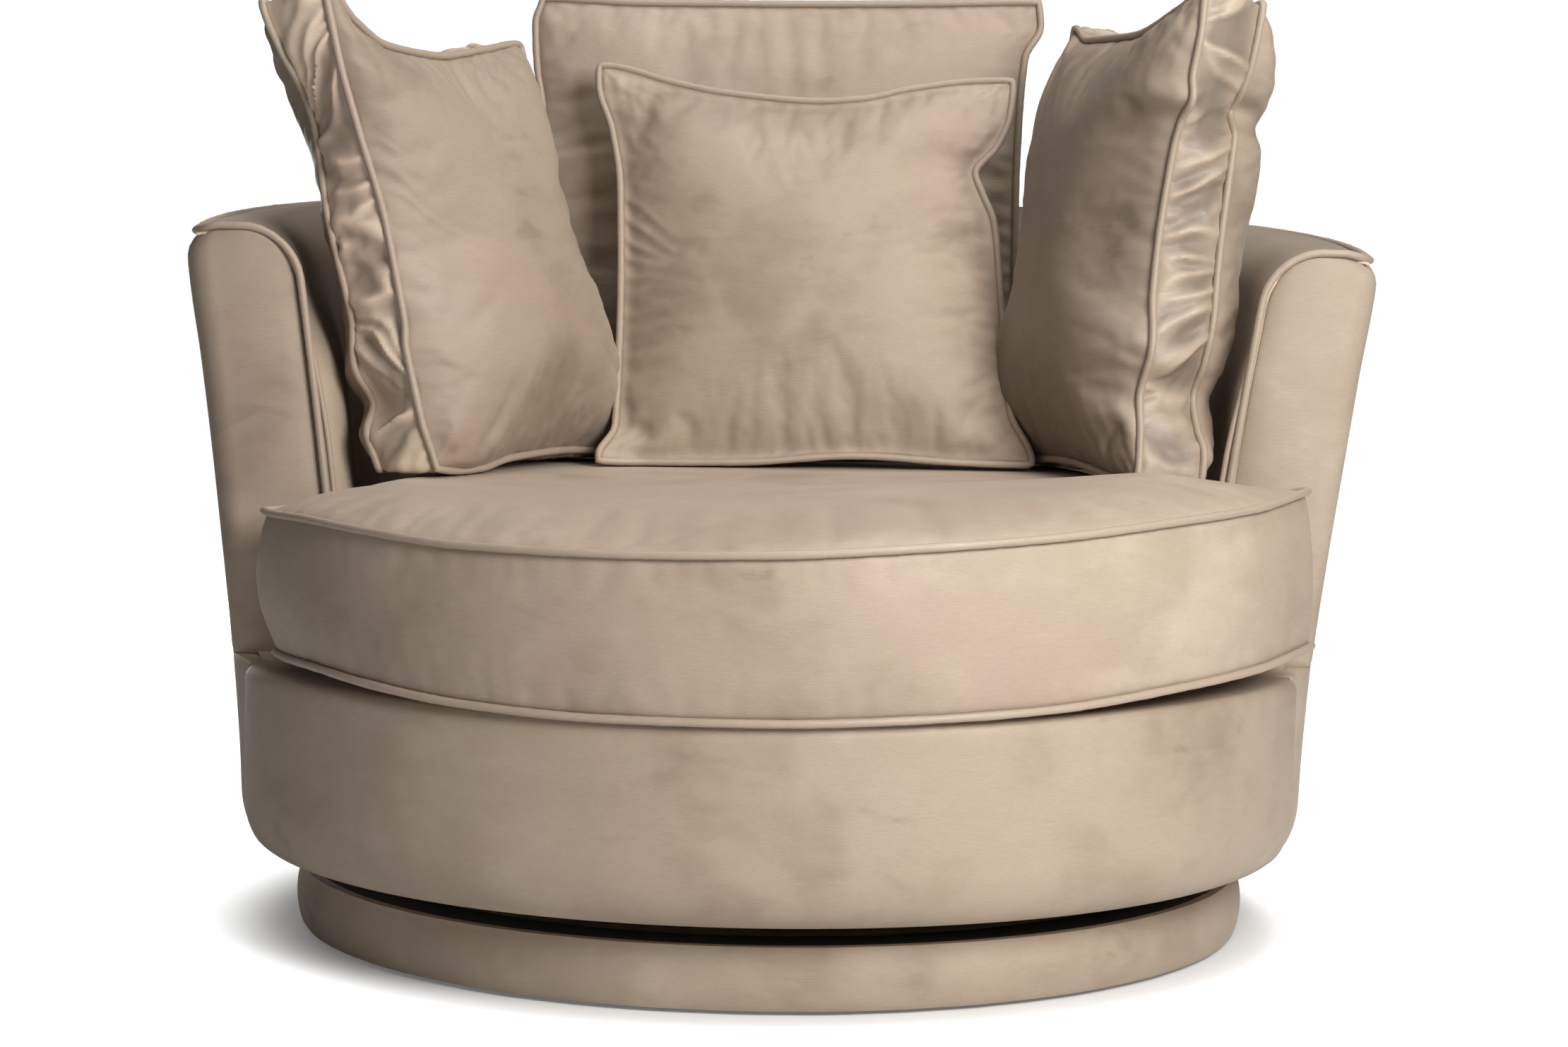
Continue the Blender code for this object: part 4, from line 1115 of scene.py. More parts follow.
@dataclass
class TubLooks:
    """The tub shell: its outer cover with the arm fronts, its inner pad and its piping."""

    plan: ChairPlan
    wardrobe: Wardrobe
    columns: int = 84
    upright_rows: int = 26
    facing_columns: int = 30
    piping_steps: int = 60
    puff: float = 0.007
    edge_depth: float = 0.015
    edge_reach: float = 0.022
    panel_end: float = -0.172
    dip: float = 0.0035
    sheet: float = 0.004
    left_swell: float = 0.032
    right_swell: float = 0.012

    def side_rows(self) -> list[float]:
        """Gives the heights of the outer cover's low rows.

        Returns:
            The heights, from the drum's bottom to its deck.
        """
        plan = self.plan
        turns = np.linspace(0.0, math.pi / 2, 9)
        low = list(plan.drum_bottom + plan.drum_edge_height * (1 - np.cos(turns)))
        return [*low, *SIDE_ROWS, 0.262, plan.deck_height]

    def outer_column(self, side: float, share: float) -> list[Vector]:
        """Gives one column of the outer cover, from under the drum to the top seam.

        Args:
            side: 1 for the side at +X, or -1.
            share: how far along the wall.

        Returns:
            The column's points.
        """
        plan = self.plan
        start = plan.facing_y + plan.facing_corner
        under = plan.drum_edge_inset + TURNED_UNDER
        column = [plan.point(side, share, plan.drum_bottom, under, start)]
        column += [plan.point(side, share, z, plan.drum_inset(z), start) for z in self.side_rows()]
        top = plan.rim(column[-1].y) - plan.seam_drop
        for z in np.linspace(plan.deck_height, top, self.upright_rows + 1)[1:]:
            column.append(plan.point(side, share, z, 0.0, start))
        return column

    def facing_column(self, side: float, share: float) -> list[Vector]:
        """Gives one column of an arm's front, from the deck to the piping on its top.

        Args:
            side: 1 for the arm at +X, or -1.
            share: 0 at the inner edge, 1 where the rounded corner meets the side.

        Returns:
            The column's points.
        """
        plan = self.plan
        corner = plan.facing_corner
        column = []
        for z in np.linspace(plan.deck_height, plan.arm_height, self.upright_rows + 1):
            inner = plan.x_at(plan.facing_y, z, plan.wall)
            middle = plan.x_at(plan.facing_y + corner, z, 0.0) - corner
            if share <= FLAT_SHARE:
                across = share / FLAT_SHARE
                x = inner + (middle - inner) * across
                edge = 1 - (1 - min(across / 0.3, 1.0)) ** 2
                swell = self.puff * math.sin(math.pi * across) * 0.5
                y = plan.facing_y + 0.004 * (1 - edge) - swell
                drop_share = 0.0
            else:
                angle = (share - FLAT_SHARE) / (1 - FLAT_SHARE) * math.pi / 2
                x = middle + corner * math.sin(angle)
                y = plan.facing_y + corner * (1 - math.cos(angle))
                drop_share = math.sin(angle)
            column.append((x, y, z))
        top = plan.arm_height - plan.roll_drop(x - inner) - plan.seam_drop * drop_share
        shrink = (top - plan.deck_height) / (plan.arm_height - plan.deck_height)
        made = []
        for x, y, z in column:
            lowered = plan.deck_height + (z - plan.deck_height) * shrink
            made.append(Vector((side * (x - (z - lowered) * 0.1), y, lowered)))
        return made

    def build_cover(self) -> bpy.types.Object:
        """Builds the outer cover in one sheet, from one arm's front round the back to the other.

        Returns:
            The cover.
        """
        plan = self.plan
        start = plan.facing_y + plan.facing_corner
        low_rows = len(self.side_rows()) + 1
        points: list[Vector] = []
        faces: list[Sequence[int]] = []
        stations = [(1.0, index / self.columns) for index in range(self.columns + 1)]
        stations += [(-1.0, 1 - index / self.columns) for index in range(1, self.columns + 1)]
        for side, share in stations:
            points += self.outer_column(side, share)
        height = low_rows + self.upright_rows
        faces += grid_faces(len(stations), height)
        for side, edge in ((1.0, 0), (-1.0, (len(stations) - 1) * height)):
            strips = [list(range(edge + low_rows - 1, edge + height))]
            for share in np.linspace(1.0, 0.0, self.facing_columns + 1)[1:]:
                column = self.facing_column(side, float(share))
                strips.append(list(range(len(points), len(points) + len(column))))
                points += column
            faces += strip_faces(strips)
            strips = []
            for part in np.linspace(0.0, 1.0, 9):
                y = start + (self.panel_end - start) * part
                strips.append(list(range(len(points), len(points) + low_rows + 3)))
                meet = part**2 * (3 - 2 * part)
                spots = [(plan.drum_bottom, plan.drum_edge_inset + TURNED_UNDER, 0.0)]
                spots += [(z, plan.drum_inset(z), 0.0) for z in self.side_rows()]
                lips = ((0.005, 0.0022), (0.016, 0.0032), (0.034, 0.0008))
                spots += [(plan.deck_height, inset, rise) for inset, rise in lips]
                for z, inset, rise in spots:
                    points.append(Vector((side * self.meet_band(y, z, inset, meet), y, z + rise)))
            faces += strip_faces(strips)
        upright = self.tuck_top(np.array([tuple(spot) for spot in points]))
        piece = mesh_piece("tub_outer_cover_padded", plan.settle(upright), faces)
        face_outwards(piece)
        face_towards(piece, read_points(piece) * (1.0, 1.0, 0.0))
        return self.finish(piece, Unevenness(0.0016, 5.0, 4.0), "tub_velvet", "tub_outer_cover")

    def finish(
        self, piece: bpy.types.Object, uneven: Unevenness, velvet: str, node: str
    ) -> bpy.types.Object:
        """Thickens and rounds a sheet of the tub, dresses it and ties it to its solid.

        Args:
            piece: the sheet.
            uneven: how uneven its padding is.
            velvet: the name of its finish.
            node: the solid that it takes the place of.

        Returns:
            The piece.
        """
        soften(piece, uneven.amount, uneven.scale, uneven.seed)
        modify(piece, "SOLIDIFY", thickness=self.sheet, offset=-1.0)
        modify(piece, "SUBSURF", levels=1)
        shade_softly(piece)
        self.wardrobe.dress(piece, velvet)
        tie(piece, node, "seat")
        return piece

    def meet_band(self, y: float, z: float, inset: float, share: float) -> float:
        """Gives a side panel's reach sideways where it closes on the drum's front band.

        Args:
            y: the place along the depth.
            z: the height.
            inset: how far inside the outer surface.
            share: 0 where the panel leaves the tub's side and 1 where it dips under the band.

        Returns:
            The reach.
        """
        radius = self.plan.drum_radius + self.plan.band_proud - inset
        band = math.sqrt(radius**2 - y * y) - self.dip
        return self.plan.x_at(y, z, inset) * (1 - share) + band * share

    def tuck_top(self, points: np.ndarray) -> np.ndarray:
        """Draws the tub's outer top edge in towards its seam, over the padding's round edge.

        Args:
            points: places on the upright tub, one row each.

        Returns:
            The same places with the edge drawn in.
        """
        plan = self.plan
        x, y, z = points.T
        start = plan.facing_y + plan.facing_corner
        behind = np.clip(y - start, 0.0, None)
        rim = plan.arm_height + plan.back_rise * behind / (plan.half_depth - start)
        below = np.clip((rim - plan.seam_drop - z) / self.edge_reach, 0.0, 1.0)
        depth = self.edge_depth * (1 - np.sqrt(1 - (1 - below) ** 2))
        depth -= 0.0016 * np.sin(math.pi * np.clip((rim - z) / 0.12, 0.0, 1.0))
        power = plan.squareness
        reach = np.abs(x / plan.half_width) ** power + np.abs(y / plan.half_depth) ** power
        reach = reach ** (1 / power)
        outer = np.clip(1 - (1 - reach) * 0.6 / 0.055, 0.0, 1.0)
        ways = np.stack([x / plan.half_width**2, y / plan.half_depth**2], axis=1)
        ways /= np.maximum(np.linalg.norm(ways, axis=1, keepdims=True), 1e-9)
        moved = points.copy()
        moved[:, :2] -= ways * (depth * outer)[:, None]
        return moved

    def pad_column(self, side: float, share: float, start: float, sink: float) -> list[Vector]:
        """Gives one column of the inner pad, from the top seam over the roll to the deck.

        Args:
            side: 1 for the side at +X, or -1.
            share: how far along the wall.
            start: where the wall starts.
            sink: how far the column is drawn in towards its seam.

        Returns:
            The column's points.
        """
        plan = self.plan
        rim = plan.rim(plan.point(side, share, plan.arm_height, 0.0, start).y)
        section: list[tuple[float, float]] = []
        for angle in np.linspace(0.0, math.pi / 2, 5):
            inset = 0.016 * (1 - math.cos(angle)) + 0.001
            section.append((inset, rim - plan.seam_drop * (1 - math.sin(angle))))
        flat = plan.wall - plan.roll
        for part in (0.25, 0.5, 0.75):
            height = rim + 0.0012 * math.sin(math.pi * part)
            section.append((0.017 + (flat - 0.017) * part, height))
        for angle in np.linspace(0.0, math.pi / 2, 11):
            height = rim - plan.roll * (1 - math.cos(angle))
            section.append((flat + plan.roll * math.sin(angle), height))
        low = plan.deck_height + 0.002
        reach = rim - plan.roll - low
        behind = plan.point(side, share, low, plan.wall, start).y - start
        swell = math.sin(math.pi / 2 * min(behind / 0.06, 1.0))
        swell *= 1 - min(max(behind - 0.09, 0.0) / 0.14, 1.0) ** 2
        swell *= self.right_swell if side > 0 else self.left_swell
        for step in range(1, 21):
            drop = min(step / 6, 1.0)
            inset = plan.wall + swell * drop * drop * (3 - 2 * drop)
            section.append((inset, rim - plan.roll - reach * step / 20))
        return [plan.point(side, share, z - sink, inset + sink, start) for inset, z in section]

    def build_pad(self) -> bpy.types.Object:
        """Builds the inner pad, which rolls over the tub's top edge.

        Returns:
            The pad.
        """
        start = self.plan.facing_y + 0.003
        sinks = {0.0: 0.0035, 0.004: 0.0014, 0.009: 0.0004, 0.016: 0.0}
        shares = list(sinks) + [0.025 + 0.975 * k / self.columns for k in range(self.columns + 1)]
        stations = [(1.0, share, sinks.get(share, 0.0)) for share in shares]
        stations += [(-1.0, share, sink) for _, share, sink in reversed(stations[:-1])]
        points: list[Vector] = []
        for side, share, sink in stations:
            points += self.pad_column(side, share, start, sink)
        rows = len(points) // len(stations)
        upright = self.plan.settle(self.tuck_top(np.array([tuple(spot) for spot in points])))
        piece = mesh_piece("tub_inner_pad_padded", upright, grid_faces(len(stations), rows))
        face_outwards(piece)
        face_towards(piece, np.array([0.0, 0.0, 1.0]))
        return self.finish(piece, Unevenness(0.0016, 6.0, 9.0), "pad_velvet", "tub_inner_pad")

    def piping_side(self, side: float) -> list[tuple[float, float, float]]:
        """Gives the piping's route on one arm, from the deck to its outer corner.

        Args:
            side: 1 for the arm at +X, or -1.

        Returns:
            The route's points.
        """
        plan = self.plan
        away = plan.piping + SEAM_GAP
        diagonal = away / math.sqrt(2)
        route = []
        low, high = plan.deck_height + 0.004, plan.arm_height - plan.roll
        for z in np.linspace(low, high, 25)[:-1]:
            x = plan.x_at(plan.facing_y, z, plan.wall) - diagonal
            route.append((x, plan.facing_y - diagonal, z))
        for angle in np.linspace(0.0, math.pi / 2, 13):
            z = plan.arm_height - plan.roll * (1 - math.sin(angle))
            x = plan.x_at(plan.facing_y, z, plan.wall) + plan.roll * (1 - math.cos(angle))
            x -= diagonal * math.cos(angle)
            route.append((x, plan.facing_y - diagonal, z + diagonal * math.sin(angle)))
        corner = plan.facing_corner
        corner_x = plan.x_at(plan.facing_y + corner, plan.arm_height, 0.0) - corner
        for angle in np.linspace(0.0, math.pi / 2, 10):
            lift = (math.pi / 4) * (1 - math.sin(angle))
            reach = corner + away * math.cos(lift)
            z = plan.arm_height - plan.seam_drop * math.sin(angle) + away * math.sin(lift)
            y = plan.facing_y + corner - reach * math.cos(angle)
            route.append((corner_x + reach * math.sin(angle), y, z))
        return [(side * x, y, z) for x, y, z in route]

    def build_welt(self, side: float) -> bpy.types.Object:
        """Builds the narrow welt inside the piping of one arm front.

        Args:
            side: 1 for the arm at +X, or -1.

        Returns:
            The welt.
        """
        plan = self.plan
        low, high = plan.deck_height + 0.004, plan.arm_height + 0.004 - plan.roll * 0.72
        route = []
        for step, z in enumerate(np.linspace(low, high, 30)):
            bend = max(z - plan.arm_height + plan.roll, 0.0) ** 2 * 4.0
            closing = max(step - 15, 0) / 14
            away = 0.0105 * (1 - closing * closing * (3 - 2 * closing))
            x = plan.x_at(plan.facing_y, z, plan.wall) - away + bend
            route.append((side * x, plan.facing_y + 0.001 + 0.004 * max(step - 22, 0) / 7, z))
        settled = plan.settle(np.array(route))
        return tube("arm_front_welt", even_route(settled, 0.005, False), plan.piping * 0.8, False)

    def build_piping(self) -> bpy.types.Object:
        """Builds the tub's piping, in one run from deck to deck.

        Returns:
            The piping.
        """
        plan = self.plan
        start = plan.facing_y + plan.facing_corner
        route = self.piping_side(1.0)
        shares = np.arange(self.piping_steps + 1) / self.piping_steps
        stations = [(1.0, share) for share in shares]
        stations += [(-1.0, 1 - share) for share in shares[1:]]
        for side, share in stations:
            z = plan.rim(plan.point(side, share, plan.arm_height, 0.0, start).y) - plan.seam_drop
            route.append(tuple(plan.point(side, share, z, -plan.piping - SEAM_GAP, start)))
        route += self.piping_side(-1.0)[::-1]
        settled = plan.settle(self.tuck_top(np.array(route)))
        piece = tube("tub_piping_cord", even_route(settled, 0.005, False), plan.piping, False)
        welts = [self.build_welt(side) for side in (1.0, -1.0)]
        make_active(piece)
        for welt in welts:
            welt.select_set(True)
        bpy.ops.object.join()
        self.wardrobe.pipe(piece, "tub_piping", "seat")
        return piece

    def build(self) -> None:
        """Builds the cover, the pad and the piping."""
        self.build_cover()
        self.build_pad()
        self.build_piping()


def bowed(depth: float) -> Stops:
    """Returns the stops of a seam side that is drawn in evenly between its corners."""
    return ((0.0, 0.0), (0.22, depth * 0.75), (0.5, depth), (0.78, depth * 0.75), (1.0, 0.0))


@dataclass(frozen=True)
class SeamLoop:
    """The four sides of a rectangular cushion's seam, as seen from its front.

    Each side is a row of stops: a place from 0 to 1, from left to right or from bottom to top,
    and how far the seam lies inside the cushion's rectangle there.
    """

    bottom: Stops = bowed(0.010)
    right: Stops = bowed(0.012)
    top: Stops = bowed(0.014)
    left: Stops = bowed(0.012)

    def curves(self, width: float, height: float, columns: int, rows: int) -> list[np.ndarray]:
        """Gives the sides as curves in the cushion's own plane.

        Args:
            width: the cushion's width.
            height: its height.
            columns: how many points the bottom and the top have.
            rows: how many points the left and the right have.

        Returns:
            The bottom, right, top and left curves. The bottom and top run from left to right, and
            the others from bottom to top.
        """
        across, along = np.linspace(0, 1, columns), np.linspace(0, 1, rows)
        low, high = along_stops(self.bottom, across), height - along_stops(self.top, across)
        left = -width / 2 + along_stops(self.left, along)
        right = width / 2 - along_stops(self.right, along)

        def level(end: int, heights: np.ndarray) -> np.ndarray:
            """Returns the bottom's or the top's curve, between the ends of the sides."""
            return np.stack([left[end] + across * (right[end] - left[end]), heights], axis=-1)

        def upright(end: int, places: np.ndarray) -> np.ndarray:
            """Returns a side's curve, between the ends of the bottom and the top."""
            return np.stack([places, low[end] + along * (high[end] - low[end])], axis=-1)

        return [level(0, low), upright(-1, right), level(-1, high), upright(0, left)]


def patch(curves: Sequence[np.ndarray]) -> np.ndarray:
    """Fills four joined curves with an even grid.

    Args:
        curves: the points of the bottom, right, top and left curves.

    Returns:
        The grid's points, by row from bottom to top and by column from left to right.
    """
    bottom, right, top, left = curves
    u = np.linspace(0.0, 1.0, len(bottom))[None, :, None]
    v = np.linspace(0.0, 1.0, len(left))[:, None, None]
    across = (1 - v) * bottom[None] + v * top[None]
    along = (1 - u) * left[:, None] + u * right[:, None]
    corners = (1 - u) * (1 - v) * bottom[0] + u * (1 - v) * bottom[-1]
    corners = corners + (1 - u) * v * top[0] + u * v * top[-1]
    return across + along - corners


def rim_numbers(rows: int, columns: int) -> list[int]:
    """Gives the numbers of a grid's outer points, anticlockwise from its first corner.

    Args:
        rows: how many rows the grid has.
        columns: how many points each row has.

    Returns:
        The numbers, each once.
    """
    loop = list(range(columns))
    loop += [row * columns + columns - 1 for row in range(1, rows)]
    loop += [(rows - 1) * columns + column for column in range(columns - 2, -1, -1)]
    loop += [row * columns for row in range(rows - 2, 0, -1)]
    return loop


@dataclass
class SewnForm:
    """A cushion's cover before it is filled: two faces and the boxing between them.

    The faces are grids of points. Boxing rows is how many rows of points lie between the seams.
    """

    front: np.ndarray
    rear: np.ndarray
    boxing_rows: int
    bulge: float

    def rims(self) -> tuple[list[int], np.ndarray, np.ndarray]:
        """Gives the points of the faces' rims, from the middle of the bottom.

        Returns:
            Their numbers, and their places on the front and on the rear.
        """
        rows, columns = self.front.shape[:2]
        loop = rim_numbers(rows, columns)
        loop = loop[columns // 2:] + loop[: columns // 2]
        return loop, self.front.reshape(-1, 3)[loop], self.rear.reshape(-1, 3)[loop]

    def strips(self) -> tuple[list[np.ndarray], list[list[int]]]:
        """Lays the boxing between the faces' rims.

        Returns:
            The places of its rows, and the numbers of each row's points with both rims.
        """
        count = self.front.shape[0] * self.front.shape[1]
        loop, front_rim, rear_rim = self.rims()
        tangent = np.roll(front_rim, -1, axis=0) - np.roll(front_rim, 1, axis=0)
        tangent /= np.maximum(np.linalg.norm(tangent, axis=1, keepdims=True), 1e-9)
        through = rear_rim - front_rim
        through /= np.maximum(np.linalg.norm(through, axis=1, keepdims=True), 1e-9)
        outward = np.cross(through, tangent)
        if float(((front_rim - front_rim.mean(axis=0)) * outward).sum()) < 0:
            outward = -outward
        rows, numbers = [], [loop]
        for row in range(1, self.boxing_rows + 1):
            share = row / (self.boxing_rows + 1)
            swell = outward * self.bulge * math.sin(math.pi * share) ** 0.7
            rows.append(front_rim * (1 - share) + rear_rim * share + swell)
            first = 2 * count + (row - 1) * len(loop)
            numbers.append(list(range(first, first + len(loop))))
        numbers.append([number + count for number in loop])
        return rows, numbers

    def sew(self, name: str) -> tuple[bpy.types.Object, np.ndarray]:
        """Joins the faces and the boxing, and marks where each point lies on the cloth.

        The map named sewn holds a place across and up each face, with 2 added on the rear, and a
        place along and across the boxing. The boxing's faces have the second material.

        Args:
            name: the piece's name.

        Returns:
            The cover, and the numbers of its seams' points.
        """
        rows, columns = self.front.shape[:2]
        count = rows * columns
        middle, numbers = self.strips()
        faces: list[Sequence[int]] = list(grid_faces(rows, columns))
        faces += [tuple(reversed(face)) for face in grid_faces(rows, columns, count)]
        panels = len(faces)
        spots = []
        for face in faces:
            for number in face:
                row, column = divmod(number % count, columns)
                up = row / (rows - 1) + (2 if number >= count else 0)
                spots.append((column / (columns - 1), up))
        length = len(numbers[0])
        for level, (upper, lower) in enumerate(zip(numbers, numbers[1:])):
            near, far = level / (len(numbers) - 1), (level + 1) / (len(numbers) - 1)
            for index in range(length):
                after = (index + 1) % length
                faces.append((upper[index], lower[index], lower[after], upper[after]))
                here, there = index / length, (index + 1) / length
                spots += [(here, near), (here, far), (there, far), (there, near)]
        points = np.vstack([self.front.reshape(-1, 3), self.rear.reshape(-1, 3), *middle])
        piece = mesh_piece(name, points, faces)
        sewn = piece.data.uv_layers.new(name="sewn")
        sewn.data.foreach_set("uv", np.array(spots, np.float32).ravel())
        kinds = [int(number >= panels) for number in range(len(faces))]
        piece.data.polygons.foreach_set("material_index", kinds)
        return piece, np.array(numbers[0] + numbers[-1])


@dataclass(frozen=True)
class Filling:
    """How a cushion's cover is filled by the cloth simulation.

    Pressure is the filling's push. Slack and gather are how much longer than its seams the cloth
    of the faces and of the boxing is cut, and cap is how far a point may move.
    """

    pressure: float = 4.0
    slack: float = 0.02
    gather: float = 0.08
    cap: float = 0.018
    bending: float = 0.4
    frames: int = 20
    unevenness: float = 0.0008
    seed: float = 1.0


def fill_cover(
    piece: bpy.types.Object, pins: np.ndarray, loose: np.ndarray, fill: Filling
) -> None:
    """Fills a cushion's cover with a cloth simulation, and applies what it gives.

    Args:
        piece: the cover.
        pins: 1 for each point that its seam holds, and 0 for the rest.
        loose: how much of the boxing's gather each point gets, from 0 to 1.
        fill: how the cover is filled.
    """
    start = read_points(piece)
    rough = ripple(start, 38.0, fill.seed) + ripple(start, 90.0, fill.seed)
    uneven = start + read_normals(piece) * ((1 - pins) * fill.unevenness * rough)[:, None]
    write_points(piece, uneven)
    for label, weights in (("seams", pins), ("gather", loose)):
        group = piece.vertex_groups.new(name=label)
        for number in np.nonzero(weights > 0)[0]:
            group.add([int(number)], float(weights[number]), "REPLACE")
    cloth = piece.modifiers.new("Filling", "CLOTH")
    for key, value in {
        "quality": 5,
        "mass": 0.3,
        "tension_stiffness": 15.0,
        "compression_stiffness": 15.0,
        "shear_stiffness": 5.0,
        "bending_stiffness": fill.bending,
        "use_pressure": True,
        "uniform_pressure_force": fill.pressure,
        "vertex_group_mass": "seams",
        "pin_stiffness": 1.0,
        "shrink_min": -fill.slack,
        "vertex_group_shrink": "gather",
        "shrink_max": -fill.gather,
    }.items():
        setattr(cloth.settings, key, value)
    cloth.settings.effector_weights.gravity = 0.0
    cloth.collision_settings.use_collision = False
    cloth.point_cache.frame_start = 1
    cloth.point_cache.frame_end = fill.frames
    scene = bpy.context.scene
    for frame_number in range(1, fill.frames + 1):
        scene.frame_set(frame_number)
    evaluated = piece.evaluated_get(bpy.context.evaluated_depsgraph_get())
    shift = read_field(evaluated.data.vertices, "co", 3).astype(float) - start
    length = np.maximum(np.linalg.norm(shift, axis=1, keepdims=True), 1e-9)
    mean, most = 1000 * length.mean(), 1000 * length.max()
    LOG.info("%s: filled, points moved %.1f mm, %.1f mm at most", piece.name, mean, most)
    shift *= fill.cap * np.tanh(length / fill.cap) / length
    piece.modifiers.remove(cloth)
    piece.vertex_groups.clear()
    scene.frame_set(1)
    write_points(piece, start + shift)


@dataclass(frozen=True)
class Pucker:
    """The small gathers that sewing leaves in the cloth.

    Strip is their height on the boxing, pull the height of the short wrinkles that run from a
    face's seams, reach how far those run, and pitch how many there are in a metre. Pinches are
    the places on a face, from 0 to 1 across and up it, that wrinkles fan out from.
    """

    strip: float = 0.0030
    pull: float = 0.0017
    reach: float = 0.045
    pitch: float = 36.0
    seed: float = 1.0
    pinches: tuple[tuple[float, float], ...] = ((0.0, 0.0), (1.0, 0.0), (1.0, 1.0), (0.0, 1.0))

    def sewn_places(self, piece: bpy.types.Object) -> tuple[np.ndarray, np.ndarray]:
        """Reads where each point lies on the cloth, and which points are the boxing's.

        Args:
            piece: the cover.

        Returns:
            The places, and True for each point of the boxing.
        """
        mesh = piece.data
        corners = read_field(mesh.loops, "vertex_index", 1, np.int32)
        spots = read_field(mesh.uv_layers["sewn"].data, "uv", 2)
        kinds = read_field(mesh.polygons, "material_index", 1, np.int32)
        on_boxing = np.repeat(kinds, read_field(mesh.polygons, "loop_total", 1, np.int32)) == 1
        places = np.zeros((len(mesh.vertices), 2))
        boxing = np.zeros(len(mesh.vertices), bool)
        places[corners] = spots
        places[corners[on_boxing]] = spots[on_boxing]
        boxing[corners[on_boxing]] = True
        return places, boxing

    def strip_height(self, spot: np.ndarray, length: float) -> float:
        """Gives the height of the boxing's gathers at one place on it.

        Args:
            spot: the place along and across the boxing, from 0 to 1.
            length: the boxing's length.

        Returns:
            The height.
        """
        turn, across = spot[0] * math.tau, spot[1]
        around = self.pitch * length / math.tau
        lean = noise.noise(Vector((math.cos(turn) * 3, math.sin(turn) * 3, self.seed))) * 0.16
        turn += lean * (across - 0.5) / length * math.tau
        level = across * 0.9 + self.seed
        place = Vector((around * math.cos(turn), around * math.sin(turn), level))
        fine = Vector((place.x * 2.6, place.y * 2.6, across * 3.0 - self.seed))
        ridge = max(1.0 - 3.4 * abs(noise.noise(place)), -0.5) - 0.4
        edge = (2 * across - 1) ** 2
        folds = 1.5 * ridge + 1.6 * noise.noise(fine) * (0.25 + 0.75 * edge)
        return self.strip * folds * max(math.sin(math.pi * across), 0.0) ** 0.5

    def pull_height(self, spot: np.ndarray, width: float, height: float) -> float:
        """Gives the height of the wrinkles that run from a face's seams, at one place on it.

        Args:
            spot: the place across and up the face, with 2 added on the rear.
            width: the face's width.
            height: its height.

        Returns:
            The height.
        """
        u, v = spot[0], spot[1] % 2.0
        shift = self.seed + (7.0 if spot[1] > 1.5 else 0.0)
        total = 0.0
        for index, (pinch_u, pinch_v) in enumerate(self.pinches):
            across, along = (u - pinch_u) * width, (v - pinch_v) * height
            away = math.hypot(across, along)
            fade = math.exp(-away / (self.reach * 1.3)) * min(away / 0.012, 1.0)
            if fade > 0.03:
                turn = math.atan2(along, across)
                depth = shift + index * 5 + away * 6.0
                spread = Vector((math.cos(turn) * 3.4, math.sin(turn) * 3.4, depth))
                total += 2.6 * fade * noise.noise(spread)
        sides = (
            (u * width, v * height, 1.0),
            (u * width, (1 - v) * height, 3.0),
            (v * height, u * width, 5.0),
            (v * height, (1 - u) * width, 9.0),
        )
        for along, away, kind in sides:
            fade = math.exp(-away / self.reach) * min(away / 0.007, 1.0)
            if fade > 0.02:
                group = noise.noise(Vector((along * 6.0, kind, shift)))
                slant = along + away * group * 1.6
                here = Vector((slant * self.pitch * 1.2, away * 7.0, shift + kind))
                ridge = max(1.0 - 3.2 * abs(noise.noise(here)), -0.4) - 0.4
                total += 1.5 * fade * min(max(0.55 + 1.8 * group, 0.0), 1.3) * ridge
        return self.pull * total

    def gather(self, piece: bpy.types.Object, width: float, height: float) -> None:
        """Puts the gathers into a filled cover.

        Args:
            piece: the cover.
            width: the cushion's width.
            height: its height.
        """
        places, boxing = self.sewn_places(piece)
        length = 2 * (width + height)
        rise = np.array([
            self.strip_height(spot, length) if strip else self.pull_height(spot, width, height)
            for spot, strip in zip(places, boxing)
        ])
        write_points(piece, read_points(piece) + read_normals(piece) * rise[:, None])
        # Fold depth for the boxing finishes, which paint shade in the troughs and light on the
        # crests.
        depth = 0.5 + 0.5 * np.clip(rise / max(1.3 * self.strip, 1e-6), -1.0, 1.0)
        write_layer(piece, FOLD_SHADE_LAYER, np.where(boxing, depth, 0.5))


@dataclass(frozen=True)
class Stance:
    """Where a cushion stands: the foot of its middle plane, the way it faces and its lean."""

    base: Colour
    turn: float
    lean: float

    def frame(self) -> Matrix:
        """Returns the cushion's own frame: X across it, Y up it and Z out of its front."""
        upright = Matrix.Rotation(math.pi / 2 - math.radians(self.lean), 4, "X")
        turned = Matrix.Rotation(math.radians(self.turn), 4, "Z")
        return Matrix.Translation(self.base) @ turned @ upright

    def place(self, points: np.ndarray) -> np.ndarray:
        """Returns points of the cushion's own frame as they stand in the chair."""
        frame = np.array(self.frame())
        return points @ frame[:3, :3].T + frame[:3, 3]


def crown_profile(u: np.ndarray, v: np.ndarray, roundness: float) -> np.ndarray:
    """Gives the height of a plump face, from 0 at its seams to 1 in its middle.

    Args:
        u: places across the face, from 0 to 1.
        v: places up the face, from 0 to 1.
        roundness: how far the rise from the seams reaches in, as a power.

    Returns:
        The height at each place.
    """
    across = 1 - np.abs(2 * u - 1) ** roundness
    along = 1 - np.abs(2 * v - 1) ** roundness
    return (np.clip(across, 0, 1) * np.clip(along, 0, 1)) ** 0.5


def rest_on(points: np.ndarray, floor: float, softness: float) -> np.ndarray:
    """Flattens what would sink below a level, where a cushion rests.

    Args:
        points: places in the chair, one row each.
        floor: the level.
        softness: how far above the level the flattening starts.

    Returns:
        The places, none of them below the level.
    """
    rested = points.copy()
    low = rested[:, 2] < floor + softness
    rested[low, 2] = floor + softness * np.exp((rested[low, 2] - floor - softness) / softness)
    return rested


